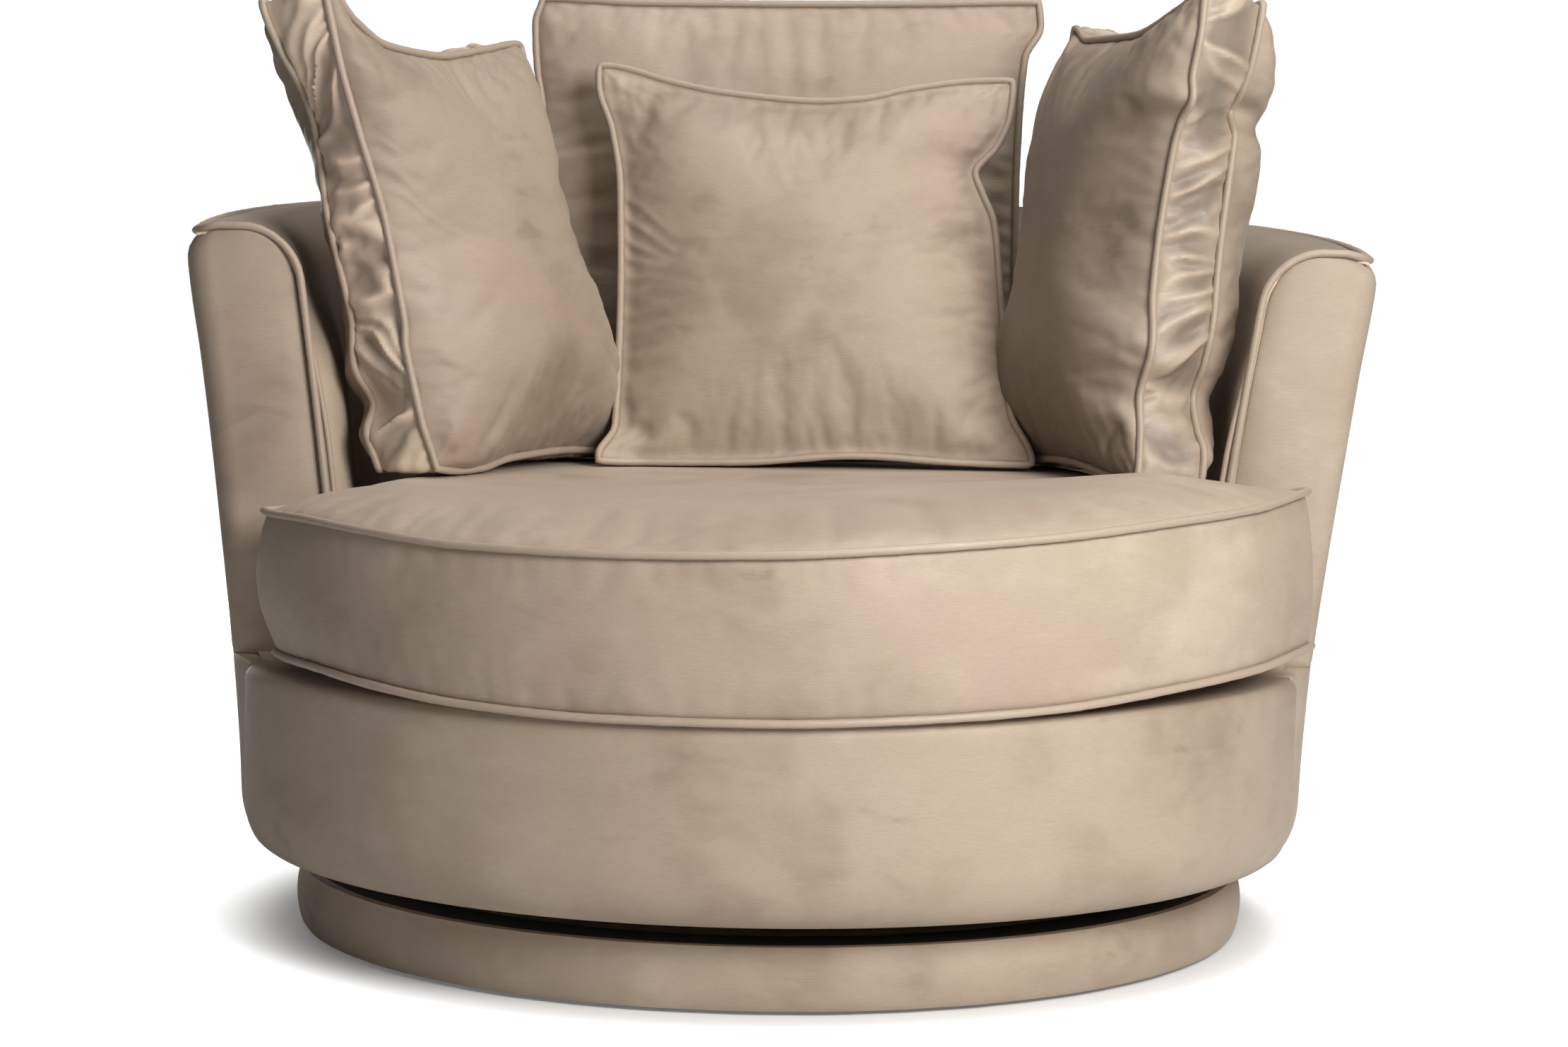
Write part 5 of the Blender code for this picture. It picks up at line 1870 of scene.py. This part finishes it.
def beside_rim(rim: np.ndarray, away: float) -> np.ndarray:
    """Shifts an anticlockwise rim outwards in its own plane.

    Args:
        rim: the rim's points, in a plane across Z.
        away: how far they are shifted.

    Returns:
        The shifted points.
    """
    tangent = np.roll(rim, -2, axis=0) - np.roll(rim, 2, axis=0)
    tangent /= np.maximum(np.linalg.norm(tangent, axis=1, keepdims=True), 1e-9)
    return rim + np.stack([tangent[:, 1], -tangent[:, 0], np.zeros(len(rim))], axis=1) * away


def finish_soft(piece: bpy.types.Object, node: str) -> None:
    """Turns a cushion's faces outwards, shades it and ties it to its solid and body.

    Args:
        piece: the cushion.
        node: the solid that it takes the place of, whose body has the same name.
    """
    face_outwards(piece)
    shade_softly(piece, SOFT_BEND)
    tie(piece, node, node)


@dataclass
class BoxCushion:
    """A rectangular box cushion with a piping round each face.

    Crown and rear crown are how far the faces rise before they are filled. Heavy says how much
    fuller a face is towards its right and its bottom.
    """

    name: str
    width: float
    height: float
    boxing: float
    crown: float
    stance: Stance
    front: SeamLoop
    rear: SeamLoop
    fill: Filling
    pucker: Pucker
    wardrobe: Wardrobe
    plan: ChairPlan
    rear_crown: float = 0.020
    roundness: float = 2.6
    rear_roundness: float = 2.6
    heavy: tuple[float, float] = (0.0, 0.0)
    rear_heavy: tuple[float, float] = (0.0, 0.0)
    velvet: str = "mink_velvet"
    boxing_velvet: str = "fold_shaded_velvet"
    floor: float = 0.4680
    step: float = 0.0062
    boxing_rows: int = 10
    bulge: float = 0.007
    plumpness: float = 0.85

    def face(
        self,
        loop: SeamLoop,
        level: float,
        crown: float = 0.0,
        heavy: tuple[float, float] = (0.0, 0.0),
        roundness: float = 2.6,
    ) -> np.ndarray:
        """Gives the grid of one face.

        Args:
            loop: the face's seam line.
            level: the seam's height above the cushion's middle plane.
            crown: how far the face rises above its seam before it is filled.
            heavy: how much fuller it is towards its right and its bottom.
            roundness: how steeply it rises from its seams.

        Returns:
            The grid's points, in the cushion's own frame.
        """
        columns, rows = int(self.width / self.step) + 1, int(self.height / self.step) + 1
        flat = patch(loop.curves(self.width, self.height, columns, rows))
        across, along = np.linspace(0, 1, columns), np.linspace(0, 1, rows)
        weight = 1 + heavy[0] * (2 * across[None, :] - 1) + heavy[1] * (1 - 2 * along[:, None])
        rise = crown_profile(across[None, :], along[:, None], roundness) * crown * weight
        return np.concatenate([flat, (level + rise)[:, :, None]], axis=2)

    def build_cover(self) -> bpy.types.Object:
        """Builds the filled cover.

        Returns:
            The cushion.
        """
        half = self.boxing / 2
        front = self.face(self.front, half, self.crown, self.heavy, self.roundness)
        rear = self.face(
            self.rear, -half, -self.rear_crown, self.rear_heavy, self.rear_roundness
        )
        form = SewnForm(front, rear, self.boxing_rows, self.bulge)
        piece, seams = form.sew(self.name + "_filled")
        count = front.shape[0] * front.shape[1]
        pins, loose = np.zeros(len(piece.data.vertices)), np.zeros(len(piece.data.vertices))
        pins[seams] = 1.0
        loose[2 * count:] = 1.0
        span = np.abs(np.concatenate([front[:, :, 2], -rear[:, :, 2]]).ravel()) - half
        loose[: 2 * count] = 0.55 * np.exp(-span / 0.008)
        fill_cover(piece, pins, loose, self.fill)
        modify(piece, "SUBSURF", levels=1)
        self.pucker.gather(piece, self.width, self.height)
        write_points(piece, rest_on(self.stance.place(read_points(piece)), self.floor, 0.006))
        self.wardrobe.dress(piece, self.velvet, self.boxing_velvet)
        finish_soft(piece, self.name)
        return piece

    def build_piping(self, label: str, loop: SeamLoop, level: float) -> bpy.types.Object:
        """Builds the piping of one face, just outside its seam.

        Args:
            label: front or rear.
            loop: the face's seam line.
            level: the seam's height above the cushion's middle plane.

        Returns:
            The piping.
        """
        grid = self.face(loop, level)
        rim = grid.reshape(-1, 3)[rim_numbers(*grid.shape[:2])]
        route = even_route(beside_rim(rim, self.plan.piping * 0.5), 0.005, True)
        route[:, 2] += math.copysign(self.plan.piping * 0.35, level)
        route = rest_on(self.stance.place(route), self.floor + self.plan.piping * 0.6, 0.004)
        piece = tube(f"{self.name}_{label}_cord", route, self.plan.piping, True)
        self.wardrobe.pipe(piece, f"{self.name}_{label}_piping", self.name)
        return piece

    def build(self) -> None:
        """Builds the cushion and its two pipings."""
        self.build_cover()
        self.build_piping("front", self.front, self.boxing / 2)
        self.build_piping("rear", self.rear, -self.boxing / 2)


@dataclass
class ScatterCushion:
    """The square scatter cushion with its narrow piped flange."""

    stance: Stance
    loop: SeamLoop
    fill: Filling
    pucker: Pucker
    wardrobe: Wardrobe
    plan: ChairPlan
    name: str = "scatter_cushion"
    size: float = 0.455
    crown: float = 0.052
    flange: float = 0.010
    floor: float = 0.4680
    step: float = 0.0058
    fold: float = 0.020
    fold_reach: float = 0.055
    plumpness: float = 0.8

    def face(self, sign: float) -> np.ndarray:
        """Gives the grid of one face.

        Args:
            sign: 1 for the front, -1 for the rear.

        Returns:
            The grid's points, in the cushion's own frame.
        """
        count = int(self.size / self.step) + 1
        places = np.linspace(0, 1, count)
        flat = patch(self.loop.curves(self.size, self.size, count, count))
        edge = self.flange / self.size
        inner = np.clip((places - edge) / (1 - 2 * edge), 0, 1)
        rise = crown_profile(inner[None, :], inner[:, None], 2.0) * self.crown
        level = sign * (0.0012 + rise)
        return np.concatenate([flat, level[:, :, None]], axis=2)

    def fold_corner(self, points: np.ndarray) -> np.ndarray:
        """Bends the flange's bottom corner forward, as it lies on the seat.

        Args:
            points: places in the cushion's own frame.

        Returns:
            The bent places.
        """
        reach = np.linalg.norm(points[:, :2] - np.array([-self.size / 2, 0.0]), axis=1)
        bent = points.copy()
        bent[:, 2] += self.fold * np.clip(1 - reach / self.fold_reach, 0.0, 1.0) ** 1.6
        return bent

    def build(self) -> None:
        """Builds the cushion and its piping."""
        front, rear = self.face(1.0), self.face(-1.0)
        piece, _ = SewnForm(front, rear, 0, 0.0).sew("scatter_cushion_filled")
        piece.data.polygons.foreach_set("material_index", [0] * len(piece.data.polygons))
        rows, columns = front.shape[:2]
        across = np.minimum(np.arange(columns), np.arange(columns)[::-1])
        along = np.minimum(np.arange(rows), np.arange(rows)[::-1])
        depth = np.minimum(across[None, :], along[:, None]).ravel()
        hold, near = (depth <= 1).astype(float), np.exp(-depth * self.step / 0.05)
        fill_cover(piece, np.tile(hold, 2), np.tile(near, 2), self.fill)
        modify(piece, "SUBSURF", levels=1)
        self.pucker.gather(piece, self.size, self.size)
        placed = self.stance.place(self.fold_corner(read_points(piece)))
        write_points(piece, rest_on(placed, self.floor, 0.005))
        self.wardrobe.dress(piece, "mink_velvet")
        finish_soft(piece, self.name)
        rim = front.reshape(-1, 3)[rim_numbers(rows, columns)] * np.array([1.0, 1.0, 0.0])
        route = even_route(beside_rim(rim, self.plan.piping * 0.8), 0.005, True)
        route = rest_on(self.stance.place(self.fold_corner(route)), self.floor + 0.0024, 0.004)
        cord = tube("scatter_cushion_cord", route, self.plan.piping, True)
        self.wardrobe.pipe(cord, "scatter_cushion_piping", self.name)


@dataclass
class SeatCushion:
    """The thick seat cushion: a round front, two wings before the arms and a rounded back.

    The lifts give how far the seams are raised or lowered along the front, by their place from
    left to right: the stuffing lifts the wings and sags over the drum's edge in the middle.
    """

    plan: ChairPlan
    wardrobe: Wardrobe
    front_radius: float = 0.5575
    wing: float = 0.520
    bottom_seam: float = 0.286
    top_seam: float = 0.433
    crown: float = 0.033
    room: float = 0.0162
    columns: int = 150
    rows: int = 96
    boxing_rows: int = 20
    bulge: float = 0.007
    soft_top: float = 0.006
    plumpness: float = 0.95
    fill: Filling = Filling(pressure=3.0, slack=0.003, gather=0.004, cap=0.012, seed=5.0)
    top_lift: Stops = (
        (-0.52, 0.003), (-0.46, 0.0055), (-0.385, 0.002), (-0.28, -0.004), (-0.15, -0.005),
        (0.0, -0.0025), (0.13, 0.004), (0.26, 0.0115), (0.373, 0.021), (0.46, 0.0275),
        (0.53, 0.037),
    )
    bottom_lift: Stops = (
        (-0.52, 0.009), (-0.46, 0.011), (-0.385, 0.006), (-0.28, -0.002), (-0.15, -0.006),
        (0.0, -0.006), (0.13, -0.003), (0.26, 0.002), (0.373, 0.012), (0.46, 0.020),
        (0.53, 0.030),
    )

    def half_outline(self, z: float) -> np.ndarray:
        """Gives the seam line's right half, from the middle of the front to that of the back.

        Args:
            z: the seam's height.

        Returns:
            The seam line's points.
        """
        plan, radius = self.plan, self.front_radius
        wing_angle = math.acos(self.wing / radius)
        outline = []
        for angle in np.linspace(-math.pi / 2, -wing_angle, FRONT_STEPS + 1):
            outline.append((radius * math.cos(angle), radius * math.sin(angle)))
        neck_y = plan.facing_y - self.room
        neck = plan.point(1.0, 0.0, z, plan.wall + self.room, neck_y)
        tip = outline[-1]
        for part in np.linspace(0.0, 1.0, NECK_STEPS + 1)[1:-1]:
            x, y = (from_tip * (1 - part) + to_neck * part for from_tip, to_neck in zip(tip, neck))
            outline.append((x, y))
        for part in np.linspace(0.0, 1.0, WALL_STEPS + 1):
            spot = plan.point(1.0, part, z, plan.wall + self.room, neck_y)
            outline.append((spot.x, spot.y))
        return np.array(outline)

    def sides(self, z: float) -> list[np.ndarray]:
        """Gives the seam line as four curves for the grid of a face.

        Args:
            z: the seam's height.

        Returns:
            The front, right, back and left curves.
        """
        half = self.half_outline(z)
        corner = FRONT_STEPS + NECK_STEPS + CORNER_STEP
        front, side, back = half[: FRONT_STEPS + 1], half[FRONT_STEPS:corner + 1], half[corner:]
        mirrored = np.array([-1.0, 1.0])

        def spread(line: np.ndarray, count: int) -> np.ndarray:
            """Spreads points evenly along a line.

            Args:
                line: the line's points.
                count: how many points are spread.

            Returns:
                The new points.
            """
            lengths = np.linalg.norm(np.diff(line, axis=0), axis=1)
            travel = np.concatenate([[0.0], np.cumsum(lengths)])
            spots = np.linspace(0.0, travel[-1], count)
            return np.stack([np.interp(spots, travel, line[:, axis]) for axis in range(2)], axis=1)

        whole_front = np.vstack([(front * mirrored)[::-1], front[1:]])
        whole_back = np.vstack([back * mirrored, back[::-1][1:]])
        return [
            spread(whole_front, self.columns),
            spread(side, self.rows),
            spread(whole_back, self.columns),
            spread(side * mirrored, self.rows),
        ]

    def face(self, z: float, crown: float) -> np.ndarray:
        """Gives the grid of the top or the bottom face.

        Args:
            z: the seam's height.
            crown: how far the face rises above its seam before it is filled.

        Returns:
            The grid's points.
        """
        flat = patch(self.sides(z))
        u = np.linspace(0, 1, self.columns)[None, :]
        v = np.linspace(0, 1, self.rows)[:, None]
        across = (1 - np.abs(2 * u - 1) ** 5.0) ** 0.6
        along = (1 - np.abs(2 * v - 1) ** 4.0) ** 0.6
        level = z + crown * across * along
        return np.concatenate([flat, level[:, :, None]], axis=2)

    def shape_wings(self, points: np.ndarray) -> np.ndarray:
        """Lifts, lowers and shifts the cushion's front as the stuffing does.

        Args:
            points: places in the chair.

        Returns:
            The shaped places.
        """
        x, y, z = points.T
        near = np.clip((-y - 0.085) / 0.115, 0.0, 1.0)
        near = near * near * (3 - 2 * near)
        height = np.clip((z - self.bottom_seam) / (self.top_seam - self.bottom_seam), 0.0, 1.0)
        high, low = along_stops(self.top_lift, x), along_stops(self.bottom_lift, x)
        wing = np.clip((np.abs(x) - 0.28) / 0.24, 0.0, 1.0) ** 2
        left = 0.029 * (1 - height) + 0.018 * height - 0.010 * np.sin(math.pi * height)
        right = 0.015 * (1 - height) + 0.007 * height
        shift = np.where(x < 0, left, right) * wing
        moved = points.copy()
        moved[:, 0] += shift * near
        moved[:, 2] += (low * (1 - height) + high * height) * near
        return moved

    def build_cover(self) -> bpy.types.Object:
        """Builds the filled cover.

        Returns:
            The cushion.
        """
        top = self.face(self.top_seam, self.crown)
        bottom = self.face(self.bottom_seam, 0.0)
        bottom[1:-1, 1:-1, 2] = self.plan.deck_height + 0.0012
        form = SewnForm(top, bottom, self.boxing_rows, self.bulge)
        piece, seams = form.sew("seat_cushion_filled")
        count = top.shape[0] * top.shape[1]
        pins, loose = np.zeros(len(piece.data.vertices)), np.zeros(len(piece.data.vertices))
        pins[seams] = 1.0
        pins[count: 2 * count] = 1.0
        loose[2 * count:] = 0.6
        fill_cover(piece, pins, loose, self.fill)
        modify(piece, "SUBSURF", levels=1)
        placed = read_points(piece)
        limit = self.top_seam + self.crown - self.soft_top
        high = placed[:, 2] > limit
        over = np.tanh((placed[high, 2] - limit) / self.soft_top)
        placed[high, 2] = limit + self.soft_top * over
        write_points(piece, self.shape_wings(placed))
        self.wardrobe.dress(piece, "seat_velvet", "seat_velvet")
        finish_soft(piece, "seat_cushion")
        return piece

    def build(self) -> None:
        """Builds the cushion and its two pipings."""
        self.build_cover()
        for label, z in (("bottom", self.bottom_seam), ("top", self.top_seam)):
            grid = self.face(z, 0.0)
            rim = grid.reshape(-1, 3)[rim_numbers(*grid.shape[:2])]
            route = even_route(beside_rim(rim, self.plan.piping), 0.007, True)
            shaped = self.shape_wings(route)
            cord = tube(f"seat_cushion_{label}_cord", shaped, self.plan.piping, True)
            self.wardrobe.pipe(cord, f"seat_cushion_{label}_piping", "seat_cushion")


@dataclass
class CushionSet:
    """The four cushions that stand on the seat."""

    plan: ChairPlan
    wardrobe: Wardrobe

    def back(self) -> BoxCushion:
        """Lays out the back cushion.

        Returns:
            The cushion, not built yet.
        """
        front = SeamLoop(
            bottom=bowed(0.012),
            right=(
                (0.0, 0.0), (0.3, 0.008), (0.56, 0.007), (0.72, 0.004), (0.88, -0.003),
                (0.95, -0.021), (1.0, -0.019),
            ),
            top=((0.0, 0.004), (0.2, 0.008), (0.5, 0.007), (0.8, 0.004), (1.0, 0.001)),
            left=(
                (0.0, 0.0), (0.3, 0.010), (0.75, 0.006), (0.85, -0.002), (0.95, -0.005),
                (1.0, 0.002),
            ),
        )
        return BoxCushion(
            "back_cushion", 0.550, 0.525, 0.080, 0.028,
            Stance((0.0, 0.2987, 0.4659), 0.0, 11.5), front, SeamLoop(),
            Filling(pressure=4.0, slack=0.012, gather=0.03, cap=0.014, bending=0.8, seed=2.0),
            Pucker(strip=0.0018, pull=0.0009, seed=2.0), self.wardrobe, self.plan,
        )

    def left(self) -> BoxCushion:
        """Lays out the side cushion at the left arm of the picture.

        Returns:
            The cushion, not built yet.
        """
        front = SeamLoop(
            bottom=((0.0, -0.012), (0.13, -0.019), (0.40, -0.006), (0.66, -0.003), (1.0, -0.010)),
            right=INNER_SIDE,
            top=(
                (0.0, -0.010), (0.10, 0.028), (0.26, 0.055), (0.50, 0.060), (0.80, 0.046),
                (1.0, 0.036),
            ),
            left=(
                (0.0, 0.006), (0.10, -0.003), (0.24, -0.004), (0.30, 0.004), (0.50, 0.007),
                (0.70, -0.008), (0.85, -0.016), (1.0, -0.016),
            ),
        )
        rear = SeamLoop(
            bottom=((0.0, 0.0), (0.5, 0.012), (1.0, 0.0)),
            right=INNER_SIDE,
            top=(
                (0.0, -0.004), (0.10, 0.024), (0.26, 0.048), (0.50, 0.056), (0.80, 0.046),
                (1.0, 0.036),
            ),
            left=(
                (0.0, 0.006), (0.075, -0.002), (0.145, 0.022), (0.22, 0.001), (0.33, 0.014),
                (0.54, 0.009), (0.74, 0.019), (0.81, 0.012), (0.91, -0.016), (1.0, -0.030),
            ),
        )
        return BoxCushion(
            "left_side_cushion", 0.380, 0.485, 0.066, 0.045,
            Stance((-0.2902, 0.0510, 0.4795), 63.0, 14.3), front, rear,
            Filling(pressure=4.5, slack=0.03, gather=0.10, cap=0.024, bending=0.10, seed=11.0),
            Pucker(strip=0.0040, seed=11.0), self.wardrobe, self.plan,
            rear_crown=0.043, roundness=4.6, rear_roundness=5.0, heavy=(0.10, 0.26),
            rear_heavy=(-0.1, 0.02), velvet="lit_velvet", boxing_velvet="lit_gathered_velvet",
        )

    def right(self) -> BoxCushion:
        """Lays out the side cushion at the right arm of the picture.

        Returns:
            The cushion, not built yet.
        """
        front = SeamLoop(
            bottom=((0.0, 0.004), (0.5, 0.014), (1.0, 0.002)),
            right=(
                (0.0, -0.002), (0.10, 0.008), (0.18, 0.023), (0.27, 0.010), (0.39, 0.028),
                (0.53, 0.034), (0.68, 0.030), (0.745, 0.020), (0.785, 0.000), (0.83, 0.009),
                (0.92, 0.004), (1.0, 0.008),
            ),
            top=((0.0, 0.002), (0.12, 0.018), (0.5, 0.020), (0.84, -0.002), (1.0, -0.016)),
            left=((0.0, 0.0), (0.3, 0.012), (0.6, 0.022), (0.88, 0.038), (1.0, 0.042)),
        )
        rear = SeamLoop(
            bottom=((0.0, 0.004), (0.5, 0.012), (1.0, 0.010)),
            right=(
                (0.0, -0.006), (0.054, -0.004), (0.11, 0.024), (0.18, 0.044), (0.25, 0.028),
                (0.33, 0.022), (0.44, 0.029), (0.56, 0.034), (0.72, 0.036), (0.78, 0.056),
                (0.825, 0.034), (0.885, 0.021), (1.0, 0.015),
            ),
            top=((0.0, 0.004), (0.12, 0.018), (0.5, 0.020), (0.84, -0.002), (1.0, -0.016)),
            left=((0.0, 0.0), (0.3, 0.012), (0.6, 0.022), (0.88, 0.036), (1.0, 0.040)),
        )
        return BoxCushion(
            "right_side_cushion", 0.380, 0.485, 0.066, 0.042,
            Stance((0.3407, 0.0657, 0.4654), -72.0, 7.8), front, rear,
            Filling(pressure=4.5, slack=0.03, gather=0.10, cap=0.026, bending=0.10, seed=23.0),
            Pucker(strip=0.0040, seed=23.0), self.wardrobe, self.plan,
            rear_crown=0.050, roundness=4.4, rear_roundness=5.0, heavy=(-0.12, -0.12),
            rear_heavy=(0.10, -0.18), velvet="shaded_velvet",
        )

    def scatter(self) -> ScatterCushion:
        """Lays out the scatter cushion.

        Returns:
            The cushion, not built yet.
        """
        loop = SeamLoop(
            bottom=((0.0, -0.005), (0.31, 0.000), (0.60, 0.010), (0.84, 0.004), (1.0, 0.002)),
            right=(
                (0.0, -0.015), (0.13, 0.009), (0.22, 0.012), (0.46, 0.019), (0.62, 0.025),
                (0.70, 0.038), (0.757, 0.046), (0.83, 0.021), (0.91, 0.007), (1.0, 0.003),
            ),
            top=(
                (0.0, -0.004), (0.18, 0.016), (0.30, 0.027), (0.53, 0.036), (0.64, 0.032),
                (0.76, 0.019), (0.92, 0.009), (1.0, 0.008),
            ),
            left=(
                (0.0, 0.007), (0.09, 0.024), (0.36, 0.026), (0.69, 0.022), (0.84, 0.011),
                (0.95, -0.005), (1.0, -0.006),
            ),
        )
        return ScatterCushion(
            Stance((0.033, 0.0984, 0.4742), 0.0, 21.0), loop,
            Filling(pressure=4.0, slack=0.02, gather=0.045, cap=0.018, bending=0.5, seed=31.0),
            Pucker(
                strip=0.0, pull=0.0015, reach=0.034, seed=31.0,
                pinches=((0.0, 0.0), (1.0, 0.0), (1.0, 1.0), (0.0, 1.0), (1.0, 0.76)),
            ),
            self.wardrobe, self.plan,
        )

    def build(self) -> None:
        """Builds the four cushions."""
        for cushion in (self.back(), self.left(), self.right(), self.scatter()):
            cushion.build()
            LOG.info("built %s", cushion.name)


HIDDEN_FINISHES = {
    ("glide",): "black_nylon",
    ("bolt", "ball_ring"): "zinc_plating",
    ("zigzag", "_plate"): "pressed_steel",
    ("spring_pad",): "grey_felt",
    ("dust_cloth",): "black_dust_cloth",
    ("piping",): "velvet_piping",
    ("_board", "_frame", "_rail"): "birch_plywood",
}


@dataclass
class HiddenParts:
    """The boards, springs, plates and bolts that keep their solids and get a finish."""

    wardrobe: Wardrobe

    def finish_of(self, node: str) -> str:
        """Finds the finish that a solid gets: the first that a word of its name stands for.

        Args:
            node: the solid's name.

        Returns:
            The finish's name.
        """
        for words, finish in HIDDEN_FINISHES.items():
            if any(word in node for word in words):
                return finish
        return "mink_velvet"

    def dress(self, nodes: dict[str, bpy.types.Object]) -> None:
        """Dresses every solid.

        Args:
            nodes: the solids, by name.
        """
        for name, solid in nodes.items():
            finish = self.wardrobe.made[self.finish_of(name)]
            for slot in solid.material_slots:
                slot.material = finish


@dataclass(frozen=True)
class Lamp:
    """One soft square lamp: where it hangs, its side and its power in watts."""

    name: str
    place: Colour
    size: float
    power: float

    def hang(self) -> None:
        """Hangs the lamp, turned to the chair."""
        data = bpy.data.lights.new(self.name, "AREA")
        data.shape = "SQUARE"
        data.size = self.size
        data.energy = self.power
        lamp = bpy.data.objects.new(self.name, data)
        lamp.location = self.place
        aim = Vector(LAMP_AIM) - Vector(self.place)
        lamp.rotation_euler = aim.to_track_quat("-Z", "Y").to_euler()
        bpy.context.scene.collection.objects.link(lamp)


@dataclass
class Studio:
    """The pale floor, the soft lamps and the camera."""

    floor_size: float = 60.0
    floor_colour: Colour = (0.82, 0.82, 0.82)
    floor_lift: float = 0.12
    lift_start: float = 0.49
    lift_end: float = 0.61
    world_strength: float = 0.10
    world_seen: float = 1.02
    camera_place: Colour = (0.011, -3.5, 0.694)
    camera_tilt: float = 4.57
    camera_roll: float = 0.8
    camera_lens: float = 76.5
    lamps: tuple[Lamp, ...] = (
        Lamp("key_lamp", (1.12, -2.05, 1.45), 1.0, 58.0),
        Lamp("top_lamp", (0.4, -0.1, 3.2), 1.8, 42.0),
        Lamp("low_lamp", (-1.8, -2.4, 0.4), 1.0, 4.5),
        Lamp("rear_lamp", (-1.4, 3.0, 0.66), 1.1, 24.0),
    )

    def build_floor(self) -> None:
        """Lays the floor, which shows white to the camera and keeps the chair's shadow."""
        deselect_all()
        bpy.ops.mesh.primitive_plane_add(size=self.floor_size, location=(0.0, 0.0, 0.0))
        floor = bpy.context.object
        floor.name = "studio_floor"
        made, bench, shader = new_material("studio_floor")
        place = bench.add("TexCoord").outputs["Object"]
        away = bench.add("VectorMath", {0: place}, operation="LENGTH").outputs["Value"]
        lift = bench.span(away, self.lift_start, self.lift_end, self.floor_lift, 1.0)
        seen = bench.add("LightPath").outputs["Is Camera Ray"]
        bench.fill(shader, {
            "Base Color": self.floor_colour,
            "Roughness": 0.9,
            "Specular IOR Level": 0.0,
            "Emission Color": (1.0, 1.0, 1.0),
            "Emission Strength": bench.maths("MULTIPLY", seen, lift),
        })
        floor.data.materials.append(made)

    def build_world(self) -> None:
        """Sets the world: soft light all round, and white where the camera sees it."""
        world = bpy.data.worlds.new("studio")
        bpy.context.scene.world = world
        world.use_nodes = True
        bench = NodeBench(world.node_tree)
        sky = world.node_tree.nodes["Background"]
        rays = bench.add("LightPath").outputs
        seen = bench.maths("MAXIMUM", rays["Is Camera Ray"], rays["Is Transmission Ray"])
        strength = bench.maths("MULTIPLY", seen, self.world_seen - self.world_strength)
        strength = bench.maths("ADD", strength, self.world_strength)
        bench.fill(sky, {"Color": (1.0, 1.0, 1.0), "Strength": strength})

    def build_camera(self) -> None:
        """Sets the camera at the height, distance and tilt of the photograph's."""
        data = bpy.data.cameras.new("camera")
        data.sensor_width = 36.0
        data.lens = self.camera_lens
        camera = bpy.data.objects.new("camera", data)
        turn = Matrix.Rotation(math.radians(90.0 - self.camera_tilt), 4, "X")
        roll = Matrix.Rotation(math.radians(self.camera_roll), 4, "Z")
        camera.matrix_world = Matrix.Translation(self.camera_place) @ turn @ roll
        bpy.context.scene.collection.objects.link(camera)
        bpy.context.scene.camera = camera

    def build(self) -> None:
        """Builds the whole studio."""
        self.build_floor()
        self.build_world()
        for lamp in self.lamps:
            lamp.hang()
        self.build_camera()
        bpy.context.scene.view_settings.view_transform = "Standard"


def plain(box: tuple[Vector, Vector]) -> list[list[float]]:
    """Returns a box's two corners as plain lists of numbers."""
    return [[float(value) for value in corner] for corner in box]


def main() -> None:
    """Builds the chair's looks and the studio."""
    logging.basicConfig(level=logging.INFO, format="%(name)s: %(message)s")
    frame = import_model()
    deselect_all()
    plan = ChairPlan()
    wardrobe = Wardrobe()
    wardrobe.fill()
    HiddenParts(wardrobe).dress(frame["nodes"])
    PlinthLooks(wardrobe).build()
    DrumLooks(plan, wardrobe).build()
    TubLooks(plan, wardrobe).build()
    SeatCushion(plan, wardrobe).build()
    CushionSet(plan, wardrobe).build()
    Studio().build()
    deselect_all()


if __name__ == "__main__":
    main()
